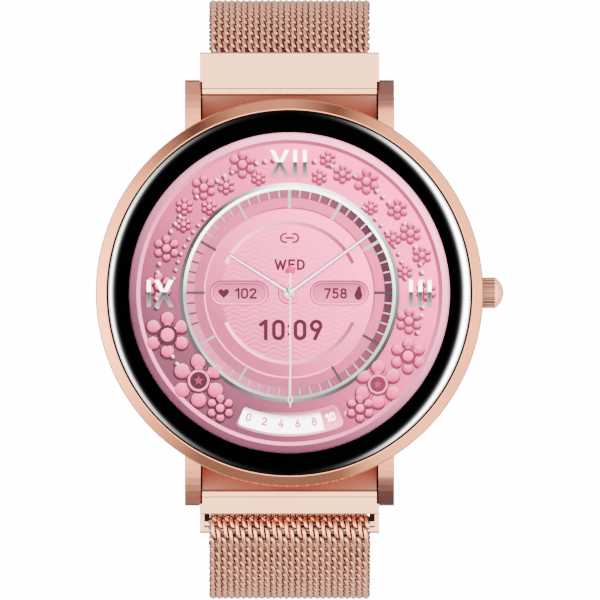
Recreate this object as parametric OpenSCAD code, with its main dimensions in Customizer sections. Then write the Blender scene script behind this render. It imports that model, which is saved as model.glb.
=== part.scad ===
// Smartwatch with a round case, crown, end links and a closed woven-mesh strap.
// +Z is the dial's normal, +Y is twelve o'clock, +X is the crown side.
// The origin is the centre of the sensor window's flat, the lowest face of the case back.

/* [Case] */
// Largest diameter of the case, at the bezel's outer edge
case_d = 43.6; // [43:0.1:45]
// Height of the glass above the case back
case_h = 10.4; // [10.2:0.1:11]
// Height where the bezel ring sits on the case
bezel_seat_z = 7.4; // [7.3:0.05:7.5]
// Diameter of the round cavity inside the case
cavity_d = 38; // [37.8:0.1:38]

/* [Glass and display] */
// Diameter of the cover glass
glass_d = 40.7; // [40.3:0.1:40.8]
// Thickness of the cover glass at its middle
glass_t = 1.3; // [1.1:0.1:1.4]
// Diameter of the lit part of the display
screen_d = 36.1; // [35:0.1:36.4]

/* [Lugs] */
// Gap between a pair of lugs, the strap's nominal width
lug_gap = 20; // [20:0.1:20.4]
// Distance from the upper lug tips to the lower lug tips
lug_span = 48; // [47.5:0.1:48.5]
// Thickness of one lug
lug_t = 1.8; // [1.6:0.1:2]

/* [Spring bars] */
// Distance of each spring bar from the middle of the case
bar_y = 22.1; // [22:0.05:22.2]
// Height of the spring bars
bar_z = 2.8; // [2.7:0.05:2.9]
// Radius of a bar's pins
pin_r = 0.4; // [0.35:0.01:0.42]
// Travel of a quick-release pin
pin_travel = 1.2; // [1:0.1:1.3]

/* [Crown] */
// Radius of the crown
crown_r = 1.75; // [1.6:0.05:1.8]
// Height of the crown's axis
crown_z = 5.2; // [5.1:0.05:5.25]
// Distance of the crown's outermost point from the middle of the case
crown_reach = 24.1; // [24:0.05:24.4]
// Number of grooves around the crown
crown_grooves = 24; // [18:1:30]

/* [Strap] */
// Width of the mesh band
mesh_w = 17.8; // [17:0.1:18.2]
// Thickness of the mesh band
mesh_t = 1; // [0.9:0.05:1.05]
// Half of the strap loop's width between the middles of its two sides
loop_half_w = 32.7; // [32:0.1:33]
// Height where the loop's lower bends begin, below the case back
loop_bend_z = -14.5; // [-15:0.1:-14]
// Radius of the loop's two lower bends
loop_bend_r = 24; // [23:0.5:24.5]
// Gap between the folded tail and the band that it lies on
tail_gap = 0.5; // [0.2:0.05:0.6]

/* [Hidden] */
$fn = 96;

rose_gold = [0.86, 0.62, 0.52];
case_r = case_d / 2;
cavity_r = cavity_d / 2;
glass_r = glass_d / 2;
glass_z = case_h - glass_t;          // underside of the glass
rim_r = glass_r + 0.2;               // inner wall of the bezel, a dark gap outside the glass
bezel_top_z = 9.95;
back_rim_z = 0.9;                    // lowest edge of the metal case
back_seat_z = 2.1;                   // where the rear cover meets the case
back_r = 17.4;                       // radius of the rear cover
window_r = 10.5;                     // radius of the sensor window
boss_r = 16.1;                       // circle of the rear screws
eps = 0.01;

// ---------- shared shapes ----------

// A ring whose section runs from r0 to r1 and from z0 to z1
module ring(r0, r1, z0, z1) {
    rotate_extrude() translate([r0, z0]) square([r1 - r0, z1 - z0]);
}

// A box given by its middle in X and Y, its size and its span in Z
module slab(x, y, sx, sy, z0, z1) {
    translate([x - sx / 2, y - sy / 2, z0]) cube([sx, sy, z1 - z0]);
}

// A cylinder along X from x0 to x1 at a given height
module rod_x(r, x0, x1, y = 0, z = 0) {
    translate([x0, y, z]) rotate([0, 90, 0]) cylinder(r = r, h = x1 - x0);
}

// A section drawn in Y and Z, extruded along X about the middle
module across(width) {
    rotate([90, 0, 90]) linear_extrude(width, center = true) children();
}

// Copies of the children at the four rear screws
module at_bosses() {
    for (a = [45 : 90 : 315]) rotate([0, 0, a]) translate([boss_r, 0, 0]) children();
}

// Points along an arc [y, z, r, a0, a1] moved sideways by d, left of its direction
function arc_points(arc, d) =
    let (
        turn = sign(arc[3] - arc[4]),
        steps = ceil(abs(arc[4] - arc[3]) / 3)
    )
    [for (i = [0 : steps])
        let (a = arc[3] + (arc[4] - arc[3]) * i / steps, r = arc[2] + turn * d)
        [arc[0] + r * cos(a), arc[1] + r * sin(a)]];
function reversed(v) = [for (i = [len(v) - 1 : -1 : 0]) v[i]];

// A band of the mesh's thickness along a chain of tangent arcs
module band(arcs, width = mesh_w, t = mesh_t) {
    across(width) polygon(concat(
        [for (a = arcs) each arc_points(a, t / 2)],
        reversed([for (a = arcs) each arc_points(a, -t / 2)])
    ));
}

// A coil spring along X: a round wire swept along a helix, closed at both ends
module coil_spring(x0, length, coil_r, wire_r, turns) {
    sides = 6;
    steps = turns * 10;
    rings = [for (i = [0 : steps])
        let (a = 360 * turns * i / steps, x = x0 + wire_r + (length - 2 * wire_r) * i / steps)
        [for (j = [0 : sides - 1])
            let (b = 360 * j / sides, r = coil_r + wire_r * cos(b))
            [x + wire_r * sin(b), r * cos(a), r * sin(a)]]];
    walls = [for (i = [0 : steps - 1], j = [0 : sides - 1])
        let (k = (j + 1) % sides)
        [i * sides + j, (i + 1) * sides + j, (i + 1) * sides + k, i * sides + k]];
    ends = [
        [for (j = [0 : sides - 1]) j],
        [for (j = [sides - 1 : -1 : 0]) steps * sides + j]
    ];
    polyhedron(points = [for (r = rings) each r], faces = concat(walls, ends));
}

// ---------- case ----------

lug_x = lug_gap / 2;
lug_tip_y = lug_span / 2;
// The back follows straight runs, the tip is upright and the top rises in an easy curve
lug_profile = [
    [15, 1.6], [19.5, 0.9], [22.3, 0.7], [23.3, 1.1], [lug_tip_y - 0.05, 1.9],
    [lug_tip_y, 2.5], [lug_tip_y - 0.14, 4], [lug_tip_y - 0.24, 4.18], [23.4, 4.42],
    [22.9, 4.75], [22.3, 5.09], [21.6, 5.43], [20.8, 5.78], [20, 6.08], [19.2, 6.35],
    [18.2, 6.66], [17, 6.98], [15, 7.3]
];
bar_recess_r = 1.95;                 // room around a strap knuckle, between the lugs
flank_r = 20.9;                      // radius of the case's flank under the bezel

module lug_pair() {
    for (side = [-1, 1])
        translate([side * (lug_x + lug_t / 2), 0, 0])
            across(lug_t) polygon(lug_profile);
}

module mid_case() {
    color(rose_gold) difference() {
        union() {
            difference() {
                union() {
                    rotate_extrude() polygon([
                        [back_r + 0.05, back_rim_z], [18.6, back_rim_z + 0.15],
                        [19.7, back_seat_z], [20.35, 4], [flank_r, 6.2], [21.35, bezel_seat_z],
                        [cavity_r - 2, bezel_seat_z], [cavity_r - 2, back_seat_z],
                        [back_r + 0.05, back_seat_z]
                    ]);
                    for (end = [0, 180]) rotate([0, 0, end]) lug_pair();
                }
                cylinder(r = cavity_r, h = 20, center = false);
                // cleared above so that nothing of a lug stands on the bezel's seat
                translate([0, 0, bezel_seat_z]) cylinder(r = case_r + 3, h = 10);
            }
            // flange that the rear cover closes against, and the screw bosses
            ring(back_r + 0.05, cavity_r + 0.2, back_rim_z + 0.05, back_seat_z);
            ring(15.2, cavity_r + 0.2, back_seat_z, back_seat_z + 0.5);
            at_bosses() {
                translate([0, 0, back_seat_z]) cylinder(r = 1.7, h = 2.6);
                translate([0, -1.2, back_seat_z]) cube([2.9, 2.4, 2.6]);
            }
        }
        for (y = [-bar_y, bar_y]) {
            // room for the strap's knuckles between the lugs
            rod_x(bar_recess_r, -lug_x, lug_x, y, bar_z);
            // blind holes in the lugs that take the bars' pins
            rod_x(pin_r + 0.05, -lug_x - 1.2, lug_x + 1.2, y, bar_z);
        }
        at_bosses() translate([0, 0, back_seat_z - eps]) cylinder(r = 0.55, h = 2.2);
        // crown tube's bore with its spot face, microphone port and speaker slots
        rod_x(1.2, cavity_r - 2, case_r, 0, crown_z);
        rod_x(crown_r + 0.25, flank_r, case_r + 1, 0, crown_z);
        rotate([0, 0, 35]) rod_x(0.5, cavity_r - 2, case_r, 0, 4.6);
        for (i = [-2 : 2])
            rotate([0, 0, 180 + 6 * i]) rod_x(0.45, cavity_r - 2, case_r, 0, 4.6);
    }
}

module bezel_ring() {
    color(rose_gold) rotate_extrude() polygon([
        [19.5, bezel_seat_z], [21.35, bezel_seat_z], [case_r, 8], [case_r, 8.85],
        [case_r - 0.12, 9.05], [rim_r + 0.12, bezel_top_z], [rim_r, bezel_top_z],
        [rim_r, glass_z - 0.2], [19.5, glass_z - 0.2]
    ]);
}

module cover_glass() {
    edge = 1.15;                     // width of the rounded edge
    flat_r = glass_r - edge;
    side_z = glass_z + 0.75;         // top of the upright side
    color([0.1, 0.11, 0.12, 0.4]) rotate_extrude() polygon(concat(
        [[0, glass_z], [glass_r - 0.1, glass_z], [glass_r, glass_z + 0.1],
         [glass_r, side_z]],
        // the edge curves over from the side to the flat top
        [for (a = [9 : 9 : 81])
            [flat_r + edge * cos(a), side_z + (case_h - side_z) * sin(a)]],
        [[flat_r, case_h], [0, case_h]]
    ));
}

module glass_gasket() {
    color("dimgray") ring(19.6, rim_r - 0.05, glass_z - 0.2, glass_z);
}

module black_border() {
    color("black") ring(screen_d / 2, 19.55, glass_z - 0.12, glass_z);
}

panel_z = 8.0;                       // underside of the display panel
panel_t = 0.6;

module display_panel() {
    color([0.95, 0.7, 0.75]) translate([0, 0, panel_z]) cylinder(r = 18.8, h = panel_t);
}

module display_flex() {
    color("orange") {
        slab(-9.5, -9.5, 6, 3.05, panel_z - 0.15, panel_z);
        slab(-9.5, -10.95, 6, 0.15, 6.4, panel_z - 0.15);
        slab(-9.5, -10.4, 6, 1.25, 6.25, 6.4);
    }
}

chassis_z = 7.1;                     // underside of the chassis' top plate

module inner_chassis() {
    color([0.25, 0.25, 0.27]) difference() {
        union() {
            ring(17.9, 18.85, back_seat_z + 0.55, chassis_z);
            translate([0, 0, chassis_z]) cylinder(r = 18.85, h = 0.6);
        }
        at_bosses() translate([0, 0, back_seat_z]) {
            cylinder(r = 1.9, h = 2.9);
            translate([0, -1.4, 0]) cube([3, 2.8, 2.9]);
        }
        // openings for the crown, the motor, the display's flex, the shield can and the ports
        rod_x(2.3, 14, 20, 0, crown_z);
        translate([0, motor_y, 0]) cylinder(r = 4.1, h = chassis_z);
        slab(-9.5, -10.4, 7, 3, chassis_z - 1, chassis_z + 1);
        slab(-3, 0, 20, 15, chassis_z - 1, chassis_z + 1);
        rotate([0, 0, 35]) rod_x(0.6, 17, 20, 0, 4.6);
        for (i = [-2 : 2]) rotate([0, 0, 180 + 6 * i]) rod_x(0.5, 17, 20, 0, 4.6);
    }
}

board_z = 5.45;

module main_board() {
    color([0.05, 0.3, 0.15]) difference() {
        translate([0, 0, board_z]) cylinder(r = 17.4, h = 0.6);
        slab(16, 0, 10, 9, board_z - 1, board_z + 2);
        slab(0, -14.2, 10, 9.2, board_z - 1, board_z + 2);
        at_bosses() translate([0, 0, board_z - 1]) cylinder(r = 1.9, h = 3);
    }
}

module board_chips() {
    top = board_z + 0.6;
    color([0.12, 0.12, 0.13]) {
        slab(-10, 8, 5, 5, top, top + 0.7);
        slab(-10.5, 1.5, 4, 4, top, top + 0.6);
        slab(8.5, -8, 4, 3, top, top + 0.6);
        slab(-11, -5.5, 3, 2.5, top, top + 0.5);
        for (i = [0 : 5]) slab(-3 + 1.6 * i, 13.2, 1, 0.6, top, top + 0.5);
        slab(-9.5, -10.4, 5, 1.2, top, 6.25);
    }
}

module shield_can() {
    top = board_z + 0.6;
    color("silver") difference() {
        slab(3, 3, 13, 13, top, top + 0.95);
        slab(3, 3, 12.6, 12.6, top - 1, top + 0.8);
    }
    color("black") slab(3, 3, 8, 8, top, top + 0.6);
}

battery_z = 2.75;

module battery() {
    color([0.75, 0.76, 0.78]) difference() {
        slab(-1.5, 0, 24, 18.5, battery_z, battery_z + 2.5);
        for (x = [-13.5, 10.5], y = [-9.25, 9.25])
            translate([x, y, 0]) cylinder(r = 0.6, h = 20);
    }
}

module battery_lead() {
    color("red") for (i = [0, 1]) {
        slab(-9 + 1.4 * i, 10.4, 0.8, 2.3, 4, 4.5);
        slab(-9 + 1.4 * i, 11.3, 0.8, 0.5, 4.5, board_z);
    }
}

module antenna_ring() {
    color("goldenrod") rotate_extrude(angle = 200)
        translate([18.0, chassis_z + 0.6]) square([0.8, 0.2]);
}

motor_y = -14.1;

module motor_can() {
    color("silver") translate([0, motor_y, battery_z]) difference() {
        cylinder(r = 3.9, h = 2.6);
        translate([0, 0, 0.2]) cylinder(r = 3.65, h = 2.2);
        // the shaft's socket in the can's floor
        translate([0, 0, -eps]) cylinder(r = 0.3, h = 0.25);
    }
}

module motor_rotor() {
    color("peru") translate([0, motor_y, battery_z]) {
        translate([0, 0, 0.02]) cylinder(r = 0.25, h = 2.3);
        translate([0, 0, 0.7]) rotate([0, 0, 200]) rotate_extrude(angle = 160)
            translate([0.2, 0]) square([3.1, 1.2]);
    }
}

module speaker() {
    color([0.2, 0.2, 0.22]) difference() {
        slab(0, 13.3, 11, 5.4, battery_z, battery_z + 2.4);
        slab(0, 13.3, 9, 3.4, battery_z + 1.6, battery_z + 3);
    }
}

module microphone() {
    color("gold") slab(13.2, 8.8, 2, 1.6, board_z - 1, board_z);
}

module sensor_board() {
    color([0.05, 0.3, 0.15]) translate([0, 0, 1.95]) cylinder(r = 9.6, h = 0.6);
}

module sensor_leds() {
    color("limegreen") {
        for (a = [0 : 90 : 270]) rotate([0, 0, a]) slab(3, 0, 1.2, 1.2, 1.5, 1.95);
        for (a = [45 : 90 : 315]) rotate([0, 0, a]) slab(5.5, 0, 2, 1.6, 1.6, 1.95);
    }
}

module sensor_window() {
    color([0.08, 0.08, 0.1]) rotate_extrude() polygon([
        [0, 0], [8.5, 0], [window_r - 0.1, 0.2], [window_r, 0.4], [window_r, 0.7],
        [window_r + 0.8, 0.7], [window_r + 0.8, 1.1], [0, 1.1]
    ]);
}

module rear_cover() {
    color([0.2, 0.2, 0.21]) difference() {
        rotate_extrude() polygon([
            [window_r + 0.05, 0.22], [11.6, 0.3], [back_r - 1.4, 0.75], [back_r, 1.0],
            [back_r, back_seat_z - 0.25], [window_r + 0.85, back_seat_z - 0.25],
            [window_r + 0.85, 0.65], [window_r + 0.05, 0.65]
        ]);
        at_bosses() {
            cylinder(r = 0.75, h = 5);
            translate([0, 0, -eps]) cylinder(r = 1.15, h = 1.31);
        }
        for (i = [-1, 1]) translate([4 * i, -13.4, 0]) cylinder(r = 0.95, h = 5);
    }
}

module rear_gasket() {
    color("black") difference() {
        ring(15.3, back_r, back_seat_z - 0.25, back_seat_z);
        at_bosses() cylinder(r = 0.8, h = 5);
    }
}

module rear_screws() {
    color("silver") at_bosses() difference() {
        union() {
            translate([0, 0, 0.85]) cylinder(r = 1.05, h = 0.45);
            translate([0, 0, 1.3]) cylinder(r = 0.5, h = 2.6);
        }
        translate([0, 0, 0.84]) cylinder(r = 0.45, h = 0.26, $fn = 6);
    }
}

module charging_contacts() {
    color("gold") for (i = [-1, 1]) translate([4 * i, -13.4, 0]) {
        translate([0, 0, 0.45]) cylinder(r = 0.9, h = 0.9);
        translate([0, 0, 1.35]) cylinder(r = 0.6, h = 0.9);
    }
}

// ---------- crown ----------

stem_r = 0.7;
crown_gap = 0.55;                    // travel room between the crown and the case
crown_x0 = flank_r + crown_gap;

module crown_cap() {
    dome_h = 0.95;
    skirt_x = crown_reach - dome_h;
    dome_r = (pow(crown_r, 2) + pow(dome_h, 2)) / (2 * dome_h);
    dome_a = asin(crown_r / dome_r);
    color(rose_gold) difference() {
        union() {
            rod_x(crown_r, crown_x0, skirt_x, 0, crown_z);
            // the domed cap, part of a sphere
            translate([skirt_x, 0, crown_z]) rotate([0, 90, 0]) rotate_extrude() polygon(concat(
                [[0, 0]],
                [for (i = [0 : 6]) let (a = dome_a * (1 - i / 6))
                    [dome_r * sin(a), dome_h - dome_r * (1 - cos(a))]]
            ));
        }
        for (i = [0 : crown_grooves - 1])
            translate([0, 0, crown_z]) rotate([360 * i / crown_grooves, 0, 0])
                rod_x(0.14, crown_x0 - 0.1, skirt_x + 0.1, 0, crown_r, $fn = 24);
        // socket that the stem is fixed in
        rod_x(stem_r, crown_x0 - 0.1, crown_x0 + 1, 0, crown_z);
    }
}

module crown_stem() {
    color("silver") difference() {
        rod_x(stem_r, 15.77, crown_x0 + 1, 0, crown_z);
        // grooves for the retaining clip and the O-ring
        for (x = [17.8, 19.4]) translate([x, 0, crown_z]) rotate([0, 90, 0]) ring(0.5, 1, 0, 0.4);
    }
}

module crown_tube() {
    color("silver") translate([0, 0, crown_z]) rotate([0, 90, 0]) difference() {
        union() {
            translate([0, 0, 18.2]) cylinder(r = 1.2, h = flank_r - 18.2);
            translate([0, 0, 18.2]) cylinder(r = 1.6, h = 0.6);
        }
        translate([0, 0, 17]) cylinder(r = stem_r + 0.05, h = 6);
        translate([0, 0, 18.85]) cylinder(r = 0.95, h = 1.4);
    }
}

module crown_o_ring() {
    color("black") translate([19.6, 0, crown_z]) rotate([0, 90, 0]) rotate_extrude()
        translate([0.72, 0]) circle(r = 0.19, $fn = 24);
}

module crown_clip() {
    color("silver") translate([17.85, 0, crown_z]) rotate([0, 90, 0])
        rotate_extrude(angle = 300) translate([0.5, 0]) square([0.8, 0.3]);
}

module encoder_magnet() {
    color("dimgray") translate([16.1, 0, crown_z]) rotate([0, 90, 0]) ring(stem_r, 1.3, 0, 0.7);
}

module encoder_sensor() {
    color("black") slab(16.4, -3.6, 1.2, 1, crown_z - 0.5, crown_z + 0.5);
    color([0.1, 0.35, 0.2]) slab(16.4, -4.3, 1.6, 0.4, board_z, crown_z + 0.8);
}

module push_switch() {
    color([0.15, 0.15, 0.16]) difference() {
        slab(13.4, 0, 1.8, 4.6, board_z - 0.9, crown_z + 1.3);
        rod_x(0.85, 13.7, 15, 0, crown_z);
    }
}

module switch_plunger() {
    color("ivory") rod_x(0.75, 14.2, 15.75, 0, crown_z);
}

// ---------- quick-release spring bars ----------

bar_half = lug_x - 0.35;             // half of a bar's tube
tube_r = 0.75;
tube_bore_r = 0.47;
lever_x = 6.2;                       // rest place of a release lever
lever_r = 0.4;
spring_x = -1.5;                     // fixed end of a bar's coil spring
spring_l = 6.9;

module bar_tube() {
    color("silver") difference() {
        rod_x(tube_r, -bar_half, bar_half, bar_y, bar_z);
        rod_x(tube_bore_r, -bar_half - 1, bar_half + 1, bar_y, bar_z);
        // slot for the release lever
        translate([lever_x - pin_travel - lever_r - 0.1, bar_y - lever_r - 0.05, bar_z - 2])
            cube([pin_travel + 2 * lever_r + 0.2, 2 * lever_r + 0.1, 2]);
    }
}

module fixed_pin() {
    color("silver") {
        rod_x(pin_r, -lug_x - 1, spring_x, bar_y, bar_z);
        rod_x(tube_bore_r, -9, -7.6, bar_y, bar_z);
    }
}

module release_pin() {
    color("silver") {
        rod_x(pin_r, spring_x + spring_l, lug_x + 1, bar_y, bar_z);
        // lever knob, reached from under the strap's end
        translate([lever_x, bar_y, 0.55]) cylinder(r = lever_r, h = bar_z - 0.55);
    }
}

module bar_spring() {
    color("gray") translate([0, bar_y, bar_z]) coil_spring(spring_x, spring_l, 0.33, 0.09, 12);
}

// Cuts that every strap end needs: the bar's bore and the lever's slot
module strap_end_cuts() {
    rod_x(tube_r, -lug_x - 1, lug_x + 1, bar_y, bar_z);
    translate([lever_x - pin_travel - 1.4, bar_y - 1, bar_z - 4])
        cube([pin_travel + 2.8, 2, 4]);
    // the inner end follows the round case
    cylinder(r = flank_r + 0.45, h = 12);
}

// ---------- strap ends ----------

plate_z = 5.5;                       // top of the strap ends' flat plates
plate_y0 = 23.03;                    // inner edge of a flat plate
plate_y1 = 27.07;                    // outer edge of the upper plate
shoulder_y = lug_span / 2 + 0.25;    // where a strap end widens past the lugs
end_w = lug_gap - 0.4;               // width between the lugs
wide_w = lug_gap + 0.2;              // width past the lugs
mesh_top_z = 4.7;                    // where the mesh meets the upper plate

// Sloped inner part of a strap end: knuckle around the bar and ramp to the plate
knuckle_profile = concat(
    [[19, 3], [19, 3.5], [22.15, 5.1], [22.4, 5.38], [plate_y0 - 0.1, plate_z - 0.1],
     [plate_y0, plate_z]],
    [[24.6, plate_z], [24.6, 1.9]],
    [for (a = [-40 : -10 : -180]) [bar_y + 1.6 * cos(a), bar_z + 1.6 * sin(a)]]
);

module end_link() {
    wide = [
        [shoulder_y, plate_z], [plate_y1 - 0.15, plate_z], [plate_y1, plate_z - 0.15],
        [plate_y1, mesh_top_z], [upper_inner(mesh_top_z) - 0.03, mesh_top_z],
        [upper_inner(3.5) - 0.03, 3.5], [25, 2.1], [shoulder_y, 1.8]
    ];
    color(rose_gold) difference() {
        union() {
            across(end_w) polygon(knuckle_profile);
            across(wide_w) polygon(wide);
        }
        strap_end_cuts();
    }
}

slot_y0 = 24.9;                      // inner edge of the loop frame's slot
slot_y1 = 26.2;                      // inner edge of the rail
rail_y1 = 27.05;                     // outer edge of the rail
slot_half = mesh_w / 2 + 0.7;
mesh_room = mesh_w + 0.2;            // width of the way that the mesh takes through the frame
guide_y1 = 25.75;                    // outer edge of the slot's dark end guides

module loop_frame() {
    inner = [
        [shoulder_y, plate_z], [slot_y0 - 0.1, plate_z], [slot_y0, plate_z - 0.1],
        [slot_y0, 2.4], [shoulder_y, 1.8]
    ];
    rail = [
        [slot_y1, 4.1], [slot_y1 + 0.2, 3.9], [rail_y1 - 0.2, 3.9], [rail_y1, 4.1],
        [rail_y1, 5.1], [rail_y1 - 0.2, 5.3], [slot_y1 + 0.2, 5.3], [slot_y1, 5.1]
    ];
    color(rose_gold) mirror([0, 1, 0]) difference() {
        union() {
            across(end_w) polygon(knuckle_profile);
            across(wide_w) polygon(inner);
            across(wide_w) polygon(rail);
            // side arms that carry the rail
            for (side = [-1, 1])
                translate([side * (slot_half + wide_w / 2) / 2, 0, 0])
                    across(wide_w / 2 - slot_half)
                        polygon([[slot_y0 - 0.5, 3.9], [slot_y0 - 0.5, plate_z - 0.2],
                                 [rail_y1 - 0.2, 5.3], [rail_y1 - 0.2, 3.9]]);
            // steps in the slot's outer corners
            for (side = [-1, 1])
                translate([side * (mesh_room / 2 + slot_half) / 2, 0, 0])
                    across(slot_half - mesh_room / 2)
                        polygon([[guide_y1, 3.9], [slot_y1 + 0.1, 3.9], [slot_y1 + 0.1, 4.9],
                                 [guide_y1, 4.9]]);
        }
        strap_end_cuts();
        // room for the mesh under the plate
        across(mesh_room) polygon([[slot_y0, 6], [slot_y0, 3], [24.7, 2], [28, 2],
                                      [28, 3.5], [slot_y1, 3.5], [slot_y1, 6]]);
    }
}

// Thin dark liners on a strap end's flanks, which keep it from rattling between the lugs
liner_t = 0.16;
liner_profile = concat(
    [[19.2, 3], [19.2, 3.45], [22.1, 4.95], [22.4, 5.2], [23, 5.35], [shoulder_y - 0.1, 5.35],
     [shoulder_y - 0.1, 2.2]],
    [for (a = [-20 : -10 : -180]) [bar_y + 1.45 * cos(a), bar_z + 1.45 * sin(a)]]
);

module strap_end_liners() {
    color("black") difference() {
        for (side = [-1, 1])
            translate([side * (end_w + liner_t) / 2, 0, 0]) across(liner_t) polygon(liner_profile);
        strap_end_cuts();
    }
}

// Small dark guides that close the slot beside the mesh
module slot_guides() {
    color("black") mirror([0, 1, 0]) for (side = [-1, 1])
        slab(side * (mesh_room / 2 + slot_half) / 2, (slot_y0 + guide_y1) / 2,
             slot_half - mesh_room / 2, guide_y1 - slot_y0, 3.95, 4.6);
}

// ---------- strap mesh ----------

floor_y = loop_half_w - loop_bend_r;             // middle of a lower bend
floor_bend_a = -68;                              // where the floor length begins
hinge_r = mesh_t / 2;
hinge_cut_r = hinge_r + 0.22;

// Angle and radius of one arc that leaves the bend's start and reaches a height and offset
function side_angle(dy, dz) = 2 * atan(dy / dz);
function side_radius(dy, dz) = dz / sin(side_angle(dy, dz));

// Upper side: one arc from the end link to the widest place
upper_y = 26.4;                                  // middle of the mesh under the plate
upper_a = side_angle(loop_half_w - upper_y, mesh_top_z - loop_bend_z);
upper_r = side_radius(loop_half_w - upper_y, mesh_top_z - loop_bend_z);
upper_arc_y = loop_half_w - upper_r;
// Inner face of the upper mesh at a height
function upper_inner(z) =
    upper_arc_y + sqrt(pow(upper_r - mesh_t / 2, 2) - pow(z - loop_bend_z, 2));

// Lower side: the band bends into the slot and folds back over the rail
slot_mid_y = 25.55;
fold_r = 1.3;
fold_z = 4.9;
slot_bend_r = 3;                                 // bend just under the slot
slot_bend_z = 4;
lower_dy = loop_half_w - slot_mid_y;
lower_dz = slot_bend_z - loop_bend_z;
lower_a = side_angle(lower_dy, lower_dz);
lower_r = side_radius(lower_dy, lower_dz) - slot_bend_r;
tail_half_w = loop_half_w + mesh_t + tail_gap;   // middle of the tail at its widest
tail_y = slot_mid_y + 2 * fold_r;                // middle of the tail beside the rail
tail_a = side_angle(tail_half_w - tail_y, lower_dz);
tail_r = side_radius(tail_half_w - tail_y, lower_dz) - slot_bend_r;
tail_hinge_z = slot_bend_z;
tail_bend_r = tail_half_w - floor_y;
clasp_a0 = -22;                                  // where the clasp starts round the bend
clasp_a1 = -42;

// Arcs are [y, z, radius, start angle, end angle], running down from the strap end
upper_arcs = [[upper_arc_y, loop_bend_z, upper_r, upper_a, 0]];
bend_arc = [floor_y, loop_bend_z, loop_bend_r, 0, floor_bend_a];
lower_arcs = [
    [slot_mid_y + slot_bend_r, slot_bend_z, slot_bend_r, 180, 180 + lower_a],
    [loop_half_w - lower_r, loop_bend_z, lower_r, lower_a, 0]
];
tail_arcs = [
    [tail_y + slot_bend_r, slot_bend_z, slot_bend_r, 180, 180 + tail_a],
    [tail_half_w - tail_r, loop_bend_z, tail_r, tail_a, 0]
];

// Knuckles: the moving length ends in a full round, the other is cut back around it
module at_side_hinge() translate([0, loop_half_w, loop_bend_z]) children();
module at_floor_hinge()
    translate([0, floor_y + loop_bend_r * cos(floor_bend_a),
               loop_bend_z + loop_bend_r * sin(floor_bend_a)]) children();
module at_tail_hinge() translate([0, tail_y, tail_hinge_z]) children();
module round_x(r, width = mesh_w) rod_x(r, -width / 2, width / 2);
mesh_grey = [0.8, 0.6, 0.52];

module upper_mesh() {
    color(mesh_grey) difference() {
        intersection() {
            band(upper_arcs);
            translate([-20, 20, -20]) cube([40, 20, 20 + mesh_top_z]);
        }
        at_side_hinge() round_x(hinge_cut_r, 30);
    }
}

module side_length() {
    union() {
        difference() {
            band([bend_arc]);
            at_floor_hinge() round_x(hinge_cut_r, 30);
        }
        at_side_hinge() round_x(hinge_r);
    }
}

module upper_side_mesh() { color(mesh_grey) side_length(); }

module floor_mesh() {
    lower_bend = [floor_y, loop_bend_z, loop_bend_r, floor_bend_a, -90];
    flat_z = loop_bend_z - loop_bend_r;
    color(mesh_grey) {
        band([lower_bend]);
        mirror([0, 1, 0]) band([lower_bend]);
        translate([-mesh_w / 2, -floor_y, flat_z - mesh_t / 2])
            cube([mesh_w, 2 * floor_y, mesh_t]);
        at_floor_hinge() round_x(hinge_r);
        mirror([0, 1, 0]) at_floor_hinge() round_x(hinge_r);
    }
}

module lower_side_mesh() {
    color(mesh_grey) mirror([0, 1, 0]) side_length();
}

module lower_mesh() {
    color(mesh_grey) mirror([0, 1, 0]) difference() {
        union() {
            band(lower_arcs);
            translate([-mesh_w / 2, slot_mid_y - mesh_t / 2, slot_bend_z])
                cube([mesh_w, mesh_t, fold_z - slot_bend_z]);
        }
        at_side_hinge() round_x(hinge_cut_r, 30);
    }
}

module folded_mesh() {
    color(mesh_grey) mirror([0, 1, 0]) difference() {
        union() {
            band([[slot_mid_y + fold_r, fold_z, fold_r, 180, 0]]);
            translate([-mesh_w / 2, tail_y - mesh_t / 2, slot_bend_z])
                cube([mesh_w, mesh_t, fold_z - slot_bend_z]);
        }
        at_tail_hinge() round_x(hinge_cut_r, 30);
    }
}

module tail_mesh() {
    color(mesh_grey) mirror([0, 1, 0]) difference() {
        union() {
            band(tail_arcs);
            at_tail_hinge() round_x(hinge_r);
        }
        translate([-15, 30, loop_bend_z - 1]) cube([30, 10, 1.25]);
    }
}

module tail_end_mesh() {
    arc = [floor_y, loop_bend_z, tail_bend_r, -0.6, clasp_a0 - 2];
    color(mesh_grey) mirror([0, 1, 0]) band([arc]);
}

// The clasp is a curved block of three pieces at the free end of the tail
clasp_in = tail_bend_r - mesh_t / 2;             // face that lies on the band
clasp_w = mesh_w + 0.4;

module clasp_block(r0, r1, a0, a1, width) {
    arc = [floor_y, loop_bend_z, (r0 + r1) / 2, a0, a1];
    band([arc], width, r1 - r0);
}

module clasp_body() {
    color(rose_gold) mirror([0, 1, 0]) difference() {
        clasp_block(clasp_in, clasp_in + 1.9, clasp_a0, clasp_a1, clasp_w);
        // mouth that holds the mesh's end
        clasp_block(clasp_in - 1, clasp_in + mesh_t, clasp_a0 + 5, clasp_a0 - 2, mesh_w);
        // pocket for the magnets
        clasp_block(clasp_in + 0.3, clasp_in + 3, clasp_a0 - 4.5, clasp_a1 + 2.5, mesh_w - 1.4);
    }
}

module clasp_magnets() {
    color("gray") mirror([0, 1, 0]) for (x = [-1, 0, 1]) translate([5.4 * x, 0, 0])
        clasp_block(clasp_in + 0.35, clasp_in + 1.6, clasp_a0 - 5, clasp_a1 + 3, 5);
}

module clasp_cover() {
    color(rose_gold) mirror([0, 1, 0])
        clasp_block(clasp_in + 1.9, clasp_in + 2.3, clasp_a0, clasp_a1, clasp_w);
}

module lower_side() mirror([0, 1, 0]) children();

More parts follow.
